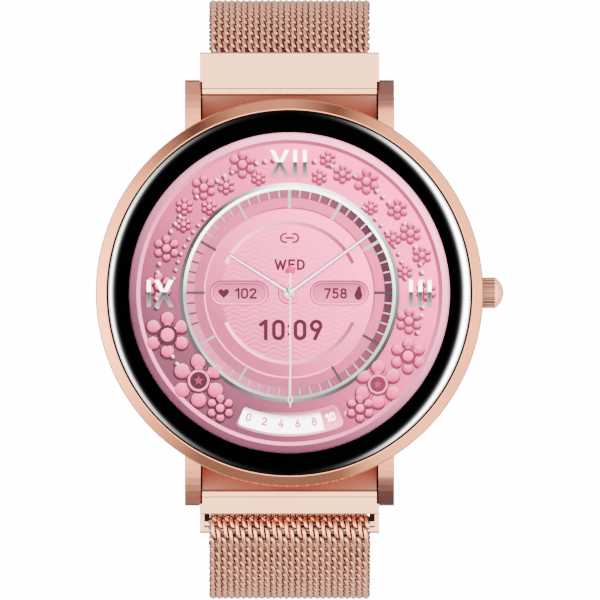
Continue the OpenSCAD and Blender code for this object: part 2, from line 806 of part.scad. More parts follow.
mid_case();
bezel_ring();
cover_glass();
glass_gasket();
black_border();
display_panel();
display_flex();
inner_chassis();
main_board();
board_chips();
shield_can();
battery();
battery_lead();
antenna_ring();
motor_can();
motor_rotor();
speaker();
microphone();
sensor_board();
sensor_leds();
sensor_window();
rear_cover();
rear_gasket();
rear_screws();
charging_contacts();
crown_cap();
crown_stem();
crown_tube();
crown_o_ring();
crown_clip();
encoder_magnet();
encoder_sensor();
push_switch();
switch_plunger();
end_link();
bar_tube();  // upper_bar_tube
fixed_pin();  // upper_fixed_pin
release_pin();  // upper_release_pin
bar_spring();  // upper_bar_spring
loop_frame();
lower_side() bar_tube();  // lower_bar_tube
lower_side() fixed_pin();  // lower_fixed_pin
lower_side() release_pin();  // lower_release_pin
lower_side() bar_spring();  // lower_bar_spring
strap_end_liners();  // upper_liners
slot_guides();
lower_side() strap_end_liners();  // lower_liners
upper_mesh();
upper_side_mesh();
floor_mesh();
lower_side_mesh();
lower_mesh();
folded_mesh();
tail_mesh();
tail_end_mesh();
clasp_body();
clasp_magnets();
clasp_cover();
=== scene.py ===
import math

import bpy
import numpy as np
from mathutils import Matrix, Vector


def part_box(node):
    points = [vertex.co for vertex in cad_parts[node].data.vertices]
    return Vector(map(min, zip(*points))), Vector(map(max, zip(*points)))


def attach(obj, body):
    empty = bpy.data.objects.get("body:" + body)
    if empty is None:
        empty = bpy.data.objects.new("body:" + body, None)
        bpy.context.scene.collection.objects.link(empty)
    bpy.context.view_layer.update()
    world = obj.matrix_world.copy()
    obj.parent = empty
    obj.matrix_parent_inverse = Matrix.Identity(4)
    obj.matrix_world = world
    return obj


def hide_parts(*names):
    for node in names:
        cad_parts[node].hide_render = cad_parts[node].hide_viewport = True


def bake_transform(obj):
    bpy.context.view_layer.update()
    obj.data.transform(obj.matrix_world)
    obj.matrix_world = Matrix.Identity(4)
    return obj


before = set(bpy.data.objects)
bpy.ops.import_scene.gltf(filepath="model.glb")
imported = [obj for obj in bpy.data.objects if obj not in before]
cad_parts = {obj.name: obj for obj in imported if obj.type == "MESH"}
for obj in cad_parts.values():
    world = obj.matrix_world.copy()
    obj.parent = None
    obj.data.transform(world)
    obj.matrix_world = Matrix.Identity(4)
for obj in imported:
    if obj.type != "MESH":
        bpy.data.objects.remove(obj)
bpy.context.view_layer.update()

MM = 0.001                    # one millimetre in metres; shapes below are worked out in millimetres
TAU = 2 * math.pi

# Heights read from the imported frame, in millimetres
GLASS_UNDER, GLASS_TOP = (corner[2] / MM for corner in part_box("cover_glass"))
PANEL_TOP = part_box("display_panel")[1][2] / MM
FLOOR_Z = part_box("floor_mesh")[0][2] / MM
DIAL_Z = PANEL_TOP + 0.01     # where the dial's relief stands
DIAL_TOP = GLASS_UNDER - 0.03 # nothing of the relief is higher


# ---------- meshes ----------

class Build:
    """Collects closed shapes, in millimetres, that become one object."""

    def __init__(self):
        self.points = []
        self.faces = []

    def add(self, points, faces):
        base = len(self.points)
        self.points.extend(points)
        self.faces.extend([[base + i for i in face] for face in faces])

    def make(self, name, material, smooth_angle=35):
        mesh = bpy.data.meshes.new(name)
        mesh.from_pydata([[c * MM for c in p] for p in self.points], [], self.faces)
        mesh.validate()
        return finish_object(name, mesh, material, smooth_angle)


def finish_object(name, mesh, material, smooth_angle):
    mesh.shade_smooth()
    mesh.set_sharp_from_angle(angle=math.radians(smooth_angle))
    mesh.materials.append(material)
    piece = bpy.data.objects.new(name, mesh)
    bpy.context.scene.collection.objects.link(piece)
    return piece


def quads(rows, count):
    """Faces between closed rows of points that lie one after the other."""
    return [[k * count + i, k * count + (i + 1) % count, (k + 1) * count + (i + 1) % count,
             (k + 1) * count + i]
            for k in range(rows - 1) for i in range(count)]


def unit(x, y):
    length = math.hypot(x, y) or 1.0
    return x / length, y / length


def polar(r, degrees):
    a = math.radians(degrees)
    return [r * math.cos(a), r * math.sin(a)]


def bow(cx, cy, rx, ry, a0, a1, steps=24):
    """Points along an ellipse."""
    return [(cx + rx * math.cos(a), cy + ry * math.sin(a)) for a in np.radians(np.linspace(a0, a1, steps))]


def capsule(cx, cy, length, width, steps=14):
    """Counter-clockwise outline of a stadium lying along X."""
    r = width / 2
    half = length / 2 - r
    return bow(cx + half, cy, r, r, -90, 90, steps) + bow(cx - half, cy, r, r, 90, 270, steps)


def lathe(build, outline, sides=180, centre=(0, 0)):
    """A closed ring turned about Z from a closed outline of [radius, height] points, none on the axis."""
    count = len(outline)
    points = []
    faces = []
    for i in range(sides):
        x, y = polar(1.0, 360 * i / sides)
        points += [[centre[0] + r * x, centre[1] + r * y, z] for r, z in outline]
        j = (i + 1) % sides
        for k in range(count):
            m = (k + 1) % count
            faces.append([i * count + k, j * count + k, j * count + m, i * count + m])
    build.add(points, faces)


def disc(build, outline, z_under, sides=180):
    """A solid turned about Z: outline runs from the rim to the middle, and z_under is its flat underside."""
    rings = [[outline[0][0], z_under]] + outline[:-1]
    points = [[*polar(r, 360 * i / sides), z] for r, z in rings for i in range(sides)]
    points.append([0, 0, outline[-1][1]])
    last = (len(rings) - 1) * sides
    faces = quads(len(rings), sides)
    faces += [[last + i, last + (i + 1) % sides, len(points) - 1] for i in range(sides)]
    faces.append([sides - 1 - i for i in range(sides)])
    build.add(points, faces)


def drawn_in(outline, inset):
    """An outline with every side moved inward, less at sharp corners."""
    inner = []
    for i, (x, y) in enumerate(outline):
        px, py = outline[i - 1]
        nx, ny = outline[(i + 1) % len(outline)]
        ax, ay = unit(x - px, y - py)
        bx, by = unit(nx - x, ny - y)
        mx, my = unit(-(ay + by), ax + bx)
        reach = inset / max(0.35, mx * -ay + my * ax)
        inner.append([x + mx * reach, y + my * reach])
    return inner


def prism(build, outline, z0, z1, bevel=0.0):
    """A solid from a counter-clockwise outline, with its top edge drawn in by a small bevel."""
    count = len(outline)
    points = [[x, y, z0] for x, y in outline] + [[x, y, z1 - bevel] for x, y in outline]
    if bevel:
        points += [[x, y, z1] for x, y in drawn_in(outline, bevel)]
    rows = len(points) // count
    faces = [[count - 1 - i for i in range(count)]] + quads(rows, count)
    faces.append([(rows - 1) * count + i for i in range(count)])
    build.add(points, faces)


def bar(build, p, q, w0, w1, z0, shoulder, top):
    """A bar from p to q with a ridge along its middle, as wide as w0 at p and w1 at q."""
    ux, uy = unit(q[0] - p[0], q[1] - p[1])
    nx, ny = -uy, ux
    corners = [
        [p[0] - nx * w0 / 2, p[1] - ny * w0 / 2], [q[0] - nx * w1 / 2, q[1] - ny * w1 / 2],
        [q[0] + nx * w1 / 2, q[1] + ny * w1 / 2], [p[0] + nx * w0 / 2, p[1] + ny * w0 / 2],
    ]
    points = [[x, y, z0] for x, y in corners] + [[x, y, shoulder] for x, y in corners]
    inset = min(w0, w1) * 0.3
    points += [[p[0] + ux * inset, p[1] + uy * inset, top], [q[0] - ux * inset, q[1] - uy * inset, top]]
    faces = [[3, 2, 1, 0]] + quads(2, 4) + [[4, 5, 9, 8], [5, 6, 9], [6, 7, 8, 9], [7, 4, 8]]
    build.add(points, faces)


def dome(build, centre, rx, ry, turn, z0, height, sides=20, rings=5):
    """A closed low dome on an ellipse."""
    ct, st = math.cos(turn), math.sin(turn)
    points = []
    for ring_at in range(rings + 1):
        f = math.cos(0.5 * math.pi * ring_at / (rings + 0.5))
        lift = height * math.sqrt(max(0.0, 1 - f * f))
        for i in range(sides):
            a = TAU * i / sides
            x, y = rx * f * math.cos(a), ry * f * math.sin(a)
            points.append([centre[0] + x * ct - y * st, centre[1] + x * st + y * ct, z0 + lift])
    faces = [[sides - 1 - i for i in range(sides)]] + quads(rings + 1, sides)
    faces.append([rings * sides + i for i in range(sides)])
    build.add(points, faces)


def strip(build, sections):
    """A closed solid through a row of four-cornered sections."""
    last = 4 * len(sections) - 4
    faces = [[0, 3, 2, 1], [last + k for k in range(4)]] + quads(len(sections), 4)
    build.add([corner for section in sections for corner in section], faces)


def between_lines(inner, outer, z0, z1):
    """Sections for a strip between two lines of points."""
    return [[[*p, z0], [*q, z0], [*q, z1], [*p, z1]] for p, q in zip(inner, outer)]


def stroke(build, path, width, z0, z1, square):
    """A flat pen stroke along a path; square ends reach half its width further."""
    points = np.array(path, dtype=float)
    ways = np.gradient(points, axis=0)
    ways /= np.linalg.norm(ways, axis=1, keepdims=True)
    if square:
        points[0] -= ways[0] * width / 2
        points[-1] += ways[-1] * width / 2
    side = np.stack([-ways[:, 1], ways[:, 0]], axis=1) * width / 2
    strip(build, between_lines(points + side, points - side, z0, z1))


def crosswise(build, x0, x1, outline, side, end):
    """A plate across the strap: an outline in y and z, drawn out from x0 to x1, at one side and end."""
    count = len(outline)
    points = [[side * x, end * y, z] for x in (x0, x1) for y, z in outline]
    faces = [list(range(count)), list(range(2 * count - 1, count - 1, -1))]
    faces += [[k, count + k, count + (k + 1) % count, (k + 1) % count] for k in range(count)]
    build.add(points, faces)


# ---------- lettering ----------

LOW_RING = bow(0.24, 0.26, 0.24, 0.26, 0, 360)
HIGH_RING = bow(0.24, 0.74, 0.24, 0.26, 0, 360)
SMALL_RING = bow(0.24, 0.76, 0.2, 0.24, 0, 360)
TALL_RING = bow(0.24, 0.74, 0.24, 0.26, 0, 180) + bow(0.24, 0.26, 0.24, 0.26, 180, 360) + [(0.48, 0.74)]
BELLY = bow(0.2, 0.5, 0.3, 0.5, 90, -90)
SWAN = bow(0.22, 0.75, 0.22, 0.25, 165, -25)
HOOK = bow(0.2, 0.31, 0.24, 0.31, 125, -145)
# Plain upright characters, one unit high: each one's width and its pen strokes
GLYPHS = {
    "0": (0.48, [TALL_RING]),
    "1": (0.27, [[(0.27, 1), (0.27, 0)], [(0.22, 0.97), (0.02, 0.82)]]),
    "2": (0.46, [SWAN + [(0.06, 0.12)], [(0.02, 0), (0.46, 0)], [(0.07, 0.13), (0, 0.02)]]),
    "4": (0.48, [[(0.3, 1), (0, 0.3)], [(0, 0.27), (0.48, 0.27)], [(0.36, 0.5), (0.36, 0)]]),
    "5": (0.44, [[(0.4, 1), (0.06, 1)], [(0.06, 1), (0.03, 0.55)], HOOK]),
    "6": (0.48, [LOW_RING, [(0.04, 0.4), (0.3, 1)]]),
    "7": (0.45, [[(0, 1), (0.45, 1)], [(0.45, 1), (0.14, 0)]]),
    "8": (0.48, [SMALL_RING, LOW_RING]),
    "9": (0.48, [HIGH_RING, [(0.44, 0.6), (0.18, 0)]]),
    "W": (0.84, [[(0, 1), (0.21, 0)], [(0.21, 0), (0.42, 0.86)], [(0.42, 0.86), (0.63, 0)],
                 [(0.63, 0), (0.84, 1)]]),
    "E": (0.42, [[(0, 0), (0, 1)], [(0, 1), (0.42, 1)], [(0, 0.52), (0.36, 0.52)], [(0, 0), (0.42, 0)]]),
    "D": (0.5, [[(0, 0), (0, 1)], [(0, 1)] + BELLY + [(0, 0)]]),
}


def write(build, words, cap, x, y, z0, height, pen, gap, stretch, turn=0.0):
    """Raised characters, cap high, drawn with a pen of one width and centred on x and y."""
    scale = cap - pen
    total = sum(GLYPHS[letter][0] * scale * stretch + pen + gap for letter in words) - gap
    at = (pen - total) / 2
    ct, st = math.cos(turn), math.sin(turn)
    for letter in words:
        wide, strokes = GLYPHS[letter]
        for k, path in enumerate(strokes):
            flat = [(at + px * scale * stretch, (py - 0.5) * scale) for px, py in path]
            placed = [(x + px * ct - py * st, y + px * st + py * ct) for px, py in flat]
            closed = math.dist(path[0], path[-1]) < 0.01
            stroke(build, placed, pen, z0, z0 + height + 0.002 * k, not closed)
        at += wide * scale * stretch + pen + gap


# ---------- materials ----------

class Nodes:
    """Short ways to add nodes to a tree."""

    def __init__(self, tree):
        self.tree = tree

    def node(self, kind, **settings):
        made = self.tree.nodes.new(kind)
        for key, value in settings.items():
            setattr(made, key, value)
        return made

    def link(self, source, target):
        self.tree.links.new(source, target)

    def ramp(self, factor, stops):
        made = self.node("ShaderNodeValToRGB")
        ramp = made.color_ramp
        while len(ramp.elements) < len(stops):
            ramp.elements.new(0.5)
        for element, (at, colour) in zip(ramp.elements, stops):
            element.position = at
            element.color = (*colour, 1.0)
        self.link(factor, made.inputs["Fac"])
        return made.outputs["Color"]

    def between(self, factor, a, b, c=0.0, d=1.0, smooth=False):
        """Takes a..b of factor to c..d."""
        made = self.node("ShaderNodeMapRange", interpolation_type="SMOOTHSTEP" if smooth else "LINEAR")
        for key, value in (("From Min", a), ("From Max", b), ("To Min", c), ("To Max", d)):
            made.inputs[key].default_value = value
        self.link(factor, made.inputs["Value"])
        return made.outputs["Result"]

    def maths(self, operation, a, b=0.0):
        made = self.node("ShaderNodeMath", operation=operation)
        for socket, value in zip(made.inputs, (a, b)):
            if isinstance(value, (int, float)):
                socket.default_value = value
            else:
                self.link(value, socket)
        return made.outputs[0]

    def mixed(self, a, b, share):
        """A number that goes from a to b as share goes from 0 to 1."""
        rest = self.maths("MULTIPLY", a, self.maths("SUBTRACT", 1.0, share))
        return self.maths("ADD", rest, self.maths("MULTIPLY", share, b))

    def split(self, vector):
        """The X, Y and Z of a vector."""
        made = self.node("ShaderNodeSeparateXYZ")
        self.link(vector, made.inputs["Vector"])
        return made.outputs


class Shader(Nodes):
    """A material with one Principled shader."""

    def __init__(self, name, **values):
        self.material = bpy.data.materials.new(name)
        self.material.use_nodes = True
        super().__init__(self.material.node_tree)
        self.bsdf = self.tree.nodes["Principled BSDF"]
        for key, value in values.items():
            self.bsdf.inputs[key.replace("_", " ")].default_value = value

    def place(self, stretch=(1, 1, 1)):
        """Object coordinates, in metres, stretched along the axes."""
        coords = self.node("ShaderNodeTexCoord")
        mapping = self.node("ShaderNodeMapping")
        mapping.inputs["Scale"].default_value = stretch
        self.link(coords.outputs["Object"], mapping.inputs["Vector"])
        return mapping.outputs["Vector"]

    def noise(self, scale, detail=2.0, stretch=(1, 1, 1), rough=0.5):
        made = self.node("ShaderNodeTexNoise")
        for key, value in (("Scale", scale), ("Detail", detail), ("Roughness", rough)):
            made.inputs[key].default_value = value
        self.link(self.place(stretch), made.inputs["Vector"])
        return made.outputs["Fac"]

    def from_axis(self):
        """Distance from the dial's axis, in metres."""
        length = self.node("ShaderNodeVectorMath", operation="LENGTH")
        self.link(self.place((1, 1, 0)), length.inputs[0])
        return length.outputs["Value"]

    def facing(self, x, y):
        """How far the surface leans toward a direction in the dial's plane, from -1 to 1."""
        geometry = self.node("ShaderNodeNewGeometry")
        dot = self.node("ShaderNodeVectorMath", operation="DOT_PRODUCT")
        self.link(geometry.outputs["Normal"], dot.inputs[0])
        dot.inputs[1].default_value = (x, y, 0)
        return dot.outputs["Value"]

    def blend(self, share, first, second):
        """A colour between a socket's colour and a constant one."""
        mix = self.node("ShaderNodeMix", data_type="RGBA")
        mix.inputs[7].default_value = (*second, 1.0)
        self.link(share, mix.inputs[0])
        self.link(first, mix.inputs[6])
        return mix.outputs[2]

    def colour(self, source):
        self.link(source, self.bsdf.inputs["Base Color"])

    def shine(self, tone, glow):
        """Uses a tone as the surface's colour and as the colour of its own light."""
        self.colour(tone)
        self.link(tone, self.bsdf.inputs["Emission Color"])
        self.bsdf.inputs["Emission Strength"].default_value = glow

    def roughness(self, source):
        self.link(source, self.bsdf.inputs["Roughness"])

    def grain(self, scale, low, high, detail=2.0):
        """Roughness that wanders between two values in a fine grain."""
        self.roughness(self.between(self.noise(scale, detail), 0.3, 0.7, low, high))

    def bump(self, height, depth):
        made = self.node("ShaderNodeBump")
        made.inputs["Distance"].default_value = depth
        self.link(height, made.inputs["Height"])
        self.link(made.outputs["Normal"], self.bsdf.inputs["Normal"])


def metal(name, dark, light, rough, grain=900.0, stretch=(1, 1, 1), depth=0.0):
    """Metal whose tone and polish wander slightly, with a fine grain along one direction."""
    s = Shader(name, Metallic=1.0)
    grains = s.noise(grain, 4.0, stretch, 0.6)
    s.colour(s.ramp(s.noise(120.0, 3.0), [(0.3, dark), (0.7, light)]))
    s.roughness(s.between(grains, 0.25, 0.75, *rough))
    if depth:
        s.bump(grains, depth)
    return s.material


def moulded(name, dark, light, rough, grain=1500.0, depth=0.00001, **values):
    """Plastic, rubber or lacquer with a fine moulded grain."""
    s = Shader(name, **values)
    fine = s.noise(grain, 3.0)
    s.colour(s.ramp(s.noise(180.0, 2.0), [(0.3, dark), (0.7, light)]))
    s.roughness(s.between(fine, 0.3, 0.7, *rough))
    s.bump(fine, depth)
    return s.material


def metal_with_painted_shade(s, zone, wander, stops, rough, stretch=(1, 1, 1), grain=900.0):
    """Rose gold whose tone follows a zone of painted shade on the piece and wanders slightly."""
    s.colour(s.ramp(s.maths("ADD", zone, wander), stops))
    s.roughness(s.between(s.noise(grain, 4.0, stretch, 0.6), 0.25, 0.75, *rough))
    return s.material


def circuit_board():
    s = Shader("board_lacquer", Roughness=0.35)
    cells = s.node("ShaderNodeTexVoronoi", distance="MANHATTAN")
    cells.inputs["Scale"].default_value = 900.0
    s.link(s.place(), cells.inputs["Vector"])
    s.colour(s.ramp(cells.outputs["Distance"],
                    [(0.05, (0.25, 0.18, 0.05)), (0.16, (0.01, 0.09, 0.05)), (0.8, (0.005, 0.05, 0.03))]))
    s.bump(cells.outputs["Distance"], 0.00002)
    return s.material


# The painted highlight: a glowing band in the edge of the glass
EDGE_R = 20.45                # where its inner side is halfway up, at twelve and six o'clock
EDGE_WIDEN = 0.92             # how much further in it reaches at three and nine o'clock
EDGE_TO_THREE = 0.18          # and how much of that belongs to three o'clock alone
PAINTED_EDGE_HIGHLIGHT = 16.0
EDGE_DECAY = 0.0007


def clear_glass():
    """Thin coated glass: it shows what is under it, and a painted highlight glows in its rounded edge.

    The painted highlight band lies at the edge, reaches further in at three o'clock than at nine and is gone
    at twelve and six. Its outer side fades as steeply as its inner side grows.
    """
    s = Shader("cover_glass_clear", Roughness=0.04, Specular_IOR_Level=0.0)
    s.material.surface_render_method = "BLENDED"
    radius = s.from_axis()
    across = s.maths("DIVIDE", s.split(s.place())["X"], radius)
    reach = s.maths("ADD", s.maths("MULTIPLY", s.maths("ABSOLUTE", across), EDGE_WIDEN * MM),
                    s.maths("MULTIPLY", across, EDGE_TO_THREE * MM))
    inward = s.maths("SUBTRACT", radius, s.maths("SUBTRACT", EDGE_R * MM, reach))
    rise = s.between(inward, -0.775 * MM, 0.415 * MM, 2.0, 0.0)
    fade = s.between(radius, 20.08 * MM, 20.8 * MM)
    s.colour(s.ramp(s.noise(60.0), [(0.2, (0.0002, 0.0002, 0.0002)), (0.8, (0.0004, 0.0004, 0.0004))]))
    # Painted highlight: the edge band glows by its own emission in place of reflected light
    s.bsdf.inputs["Emission Color"].default_value = (1, 0.99, 0.99, 1)
    glow = s.maths("POWER", EDGE_DECAY, s.maths("ADD", rise, fade))
    s.link(s.maths("MULTIPLY", glow, PAINTED_EDGE_HIGHLIGHT), s.bsdf.inputs["Emission Strength"])
    s.link(s.between(radius, 18.2 * MM, 18.6 * MM, 0.002, 1.0, True), s.bsdf.inputs["Alpha"])
    return s.material


def bezel_metal():
    """Polished rose gold with painted black shade inside the rim, around and under the glass."""
    s = Shader("bezel_rose_gold", Metallic=1.0)
    # Painted shade: the metal inside the rim is coloured near black
    inside = s.between(s.from_axis(), 20.56 * MM, 20.58 * MM, 1.0, 0.0)
    wander = s.between(s.noise(120.0, 3.0), 0.3, 0.7, 0.0, 0.03)
    stops = [(0.0, (0.86, 0.3, 0.135)), (1.0, (0.01, 0.007, 0.006))]
    return metal_with_painted_shade(s, inside, wander, stops, (0.14, 0.2), (1, 1, 6))


def case_metal():
    """Rose gold of the case and its lugs, with painted shade: darker toward the tips of the lugs on the
    crown's side, and near black on the lugs' end faces.
    """
    s = Shader("case_rose_gold", Metallic=1.0)
    parts = s.split(s.place())
    out = s.maths("ABSOLUTE", parts["Y"])
    # Painted shade on the lug tips, stronger on the crown's side, and near-black painted shade on the lugs'
    # end faces
    tip = s.maths("MULTIPLY", s.between(out, 20.3 * MM, 21.3 * MM, smooth=True),
                  s.between(parts["X"], -8 * MM, 8 * MM, 0.04, 0.62, True))
    end_face_shade = s.between(out, 23.75 * MM, 23.78 * MM)
    wander = s.between(s.noise(120.0, 3.0), 0.3, 0.7, 0.0, 0.03)
    stops = [(0.0, (0.88, 0.31, 0.15)), (0.5, (0.46, 0.18, 0.12)), (0.95, (0.03, 0.02, 0.015))]
    return metal_with_painted_shade(s, s.maths("MAXIMUM", tip, end_face_shade), wander, stops, (0.16, 0.24), (1, 1, 8), 700.0)


def link_metal():
    """Brushed pale rose gold of the strap ends; their slopes toward the case are a darker tone of painted
    shade.
    """
    s = Shader("link_rose_gold", Metallic=1.0)
    lean = s.maths("ABSOLUTE", s.facing(0, 1))
    # Painted shade on the faces that lean toward the case
    slope_shade = s.maths("MULTIPLY", s.between(lean, 0.3, 0.4, smooth=True),
                    s.between(lean, 0.85, 0.95, 1, 0, True))
    grains = s.noise(900.0, 4.0, (0.1, 1, 1), 0.6)
    wander = s.between(grains, 0.3, 0.7, 0.0, 0.04)
    s.colour(s.ramp(s.maths("ADD", slope_shade, wander), [(0.0, (0.9, 0.45, 0.22)), (1.0, (0.46, 0.24, 0.18))]))
    s.roughness(s.maths("ADD", s.between(grains, 0.25, 0.75, 0.2, 0.28), s.maths("MULTIPLY", slope_shade, 0.3)))
    return s.material


def crown_metal():
    """The crown's knurled skirt is darker than its polished end, which carries a painted highlight as its own
    glow.
    """
    s = Shader("crown_rose_gold", Metallic=1.0)
    cap = s.between(s.split(s.place())["X"], 23.05 * MM, 23.2 * MM, smooth=True)
    wander = s.between(s.noise(1200.0, 3.0), 0.3, 0.7, 0.0, 0.06)
    s.colour(s.ramp(s.maths("ADD", cap, wander), [(0.0, (0.36, 0.17, 0.12)), (1.0, (0.9, 0.36, 0.22))]))
    # Painted highlight: the crown's end glows with its own rose light
    s.bsdf.inputs["Emission Color"].default_value = (1.0, 0.34, 0.17, 1)
    s.link(s.maths("MULTIPLY", cap, 1.5), s.bsdf.inputs["Emission Strength"])
    s.grain(900.0, 0.3, 0.38, 3.0)
    return s.material


def case_materials():
    """One material for each material slot that the CAD nodes use."""
    matt = {"Specular_IOR_Level": 0.0}
    return {
        "case_metal": case_metal(),
        "bezel_metal": bezel_metal(),
        "link_metal": link_metal(),
        "clasp_metal": metal("clasp_rose_gold", (0.79, 0.28, 0.154), (0.82, 0.29, 0.16), (0.18, 0.28), 900,
                             (0.1, 1, 1), 0.000001),
        "crown_metal": crown_metal(),
        "glass": clear_glass(),
        "seal": moulded("seal_rubber", (0.002, 0.002, 0.002), (0.004, 0.004, 0.004), (0.5, 0.65),
                        Specular_IOR_Level=0.1),
        "black_print": moulded("border_ink", (0.0006, 0.0006, 0.0007), (0.001, 0.001, 0.0012), (0.5, 0.6),
                               **matt),
        "screen": moulded("panel_glass", (0.004, 0.004, 0.005), (0.01, 0.01, 0.012), (0.08, 0.14)),
        "flex": moulded("flex_film", (0.35, 0.12, 0.02), (0.5, 0.18, 0.03), (0.3, 0.45)),
        "chassis": moulded("chassis_resin", (0.03, 0.032, 0.035), (0.05, 0.052, 0.055), (0.5, 0.65)),
        "board": circuit_board(),
        "chips": moulded("chip_resin", (0.012, 0.012, 0.013), (0.025, 0.025, 0.027), (0.4, 0.55)),
        "tin": metal("tin_plate", (0.55, 0.55, 0.56), (0.68, 0.68, 0.7), (0.3, 0.45), 600, (1, 6, 1),
                     0.000003),
        "cell": metal("cell_foil", (0.45, 0.46, 0.48), (0.6, 0.6, 0.62), (0.35, 0.5), 500, depth=0.00001),
        "lead": moulded("lead_sleeve", (0.25, 0.01, 0.01), (0.35, 0.02, 0.015), (0.4, 0.5)),
        "gold_plate": metal("gold_plating", (0.85, 0.55, 0.16), (0.95, 0.65, 0.22), (0.15, 0.25)),
        "tungsten": metal("motor_weight", (0.3, 0.29, 0.28), (0.38, 0.37, 0.35), (0.3, 0.4)),
        "led": moulded("sensor_diode", (0.1, 0.5, 0.12), (0.2, 0.75, 0.2), (0.1, 0.2)),
        "sensor_glass": sensor_window_glass(),
        "back_plastic": back_cover_finish(),
        "steel": metal("fine_steel", (0.5, 0.5, 0.51), (0.62, 0.62, 0.63), (0.2, 0.32), 1200, (8, 1, 1)),
        "spring_steel": metal("spring_wire", (0.42, 0.41, 0.4), (0.52, 0.51, 0.5), (0.25, 0.35)),
        "magnet": metal("magnet_nickel", (0.5, 0.49, 0.46), (0.62, 0.6, 0.57), (0.2, 0.32)),
        "plunger_plastic": moulded("plunger_resin", (0.55, 0.55, 0.52), (0.68, 0.68, 0.65), (0.35, 0.5)),
    }


def rings_factor(s, spacing, sharp=0.5):
    """A wave along the distance from the dial's axis."""
    return s.between(s.maths("PINGPONG", s.from_axis(), spacing / 2), 0, spacing * sharp)


def back_cover_finish():
    """Dark glass-filled plastic with the fine turned rings of its mould."""
    s = Shader("back_cover_resin")
    s.colour(s.ramp(s.noise(140.0, 3.0), [(0.3, (0.018, 0.016, 0.016)), (0.7, (0.03, 0.027, 0.027))]))
    s.grain(1600.0, 0.3, 0.42)
    s.bump(rings_factor(s, 0.3 * MM), 0.000004)
    return s.material


def sensor_window_glass():
    """Near-black window with a soft green-grey glow where the sensors look out."""
    s = Shader("sensor_window_dark", Coat_Weight=0.4)
    s.colour(s.ramp(rings_factor(s, 7 * MM, 0.4),
                    [(0.0, (0.004, 0.006, 0.006)), (0.6, (0.01, 0.012, 0.014)),
                     (1.0, (0.006, 0.006, 0.008))]))
    s.grain(400.0, 0.04, 0.09)
    return s.material


def wire_metal():
    """Drawn rose-gold wire: polished on the band's faces, with painted shade that darkens it deep between the
    strands.
    """
    s = Shader("mesh_wire", Metallic=1.0)
    # Painted shade: the lower a wire lies in the weave, the darker its colour
    height = s.node("ShaderNodeAttribute", attribute_name="height")
    wander = s.between(s.noise(260.0, 1.0), 0.3, 0.7, -0.06, 0.06)
    depth = s.maths("ADD", height.outputs["Fac"], wander)
    s.colour(s.ramp(depth, [(0.2, (0.12, 0.055, 0.04)), (0.42, (0.4, 0.19, 0.13)),
                            (0.62, (0.92, 0.43, 0.27)), (0.95, (0.96, 0.46, 0.3))]))
    s.roughness(s.between(depth, 0.3, 0.9, 0.45, 0.26))
    return s.material


GLOW = 1.9                    # the display's own light, against about as much from the studio


def dial_print(name, shade, lit, glow=GLOW, way=(1, 1), reach=20, middle=(0, 0), curve=1.0):
    """Display colour that runs across the dial, from its shaded tone to its lit tone along a direction."""
    s = Shader(name, Specular_IOR_Level=0.1)
    parts = s.split(s.place())
    x = s.maths("MULTIPLY", s.maths("SUBTRACT", parts["X"], middle[0] * MM), way[0])
    y = s.maths("MULTIPLY", s.maths("SUBTRACT", parts["Y"], middle[1] * MM), way[1])
    across = s.between(s.maths("ADD", x, y), -reach * MM, reach * MM)
    s.shine(s.ramp(s.maths("POWER", across, curve), [(0.0, shade), (1.0, lit)]), glow)
    s.grain(2500.0, 0.4, 0.5, 1.0)
    return s.material


def relief_print(name, shade, flat, lit, way=(0.2, 0.98), glow=GLOW):
    """Display colour that follows the relief: shaded on one side of each shape and lit on the other."""
    s = Shader(name, Specular_IOR_Level=0.1)
    s.shine(s.ramp(s.between(s.facing(*way), -0.8, 0.8), [(0.0, shade), (0.45, flat), (1.0, lit)]), glow)
    s.grain(2500.0, 0.35, 0.45, 1.0)
    return s.material


def painted_silver_reflection(name, glow, stops):
    """Polished ring in painted reflections: greys that follow the angle round the dial, counter-clockwise
    from nine o'clock.
    """
    s = Shader(name, Specular_IOR_Level=0.1)
    parts = s.split(s.place())
    factor = s.between(s.maths("ARCTAN2", parts["Y"], parts["X"]), -math.pi, math.pi)
    s.shine(s.ramp(factor, [(at, (grey * 0.98, grey, grey * 0.99)) for at, grey in stops]), glow)
    s.grain(2500.0, 0.25, 0.35, 1.0)
    return s.material


def split_chrome(name, middle, half):
    """White above and grey below each numeral's middle, as polished metal mirrors a horizon."""
    s = Shader(name, Specular_IOR_Level=0.1)
    factor = s.between(s.split(s.place())["Y"], (middle - half) * MM, (middle + half) * MM)
    tone = s.ramp(factor, [(0.0, (0.11, 0.11, 0.11)), (0.25, (0.045, 0.045, 0.045)),
                           (0.55, (0.008, 0.008, 0.008)), (0.58, (0.9, 0.9, 0.9)),
                           (0.75, (0.95, 0.85, 0.88)), (1.0, (0.93, 0.78, 0.82))])
    # Painted shade: the numerals' sides that face left and right are mixed toward grey
    side = s.facing(1, 0)
    bevel = s.between(s.maths("MULTIPLY", side, side), 0.2, 0.4, 0.0, 0.6)
    s.shine(s.blend(bevel, tone, (0.12, 0.11, 0.11)), 6.0)
    s.grain(900.0, 0.22, 0.32)
    return s.material


WAVE_LENGTH = 2.25            # of the faint wavy lines in the dial's middle
WAVE_HEIGHT = 0.23
WAVE_SPACING = 0.56


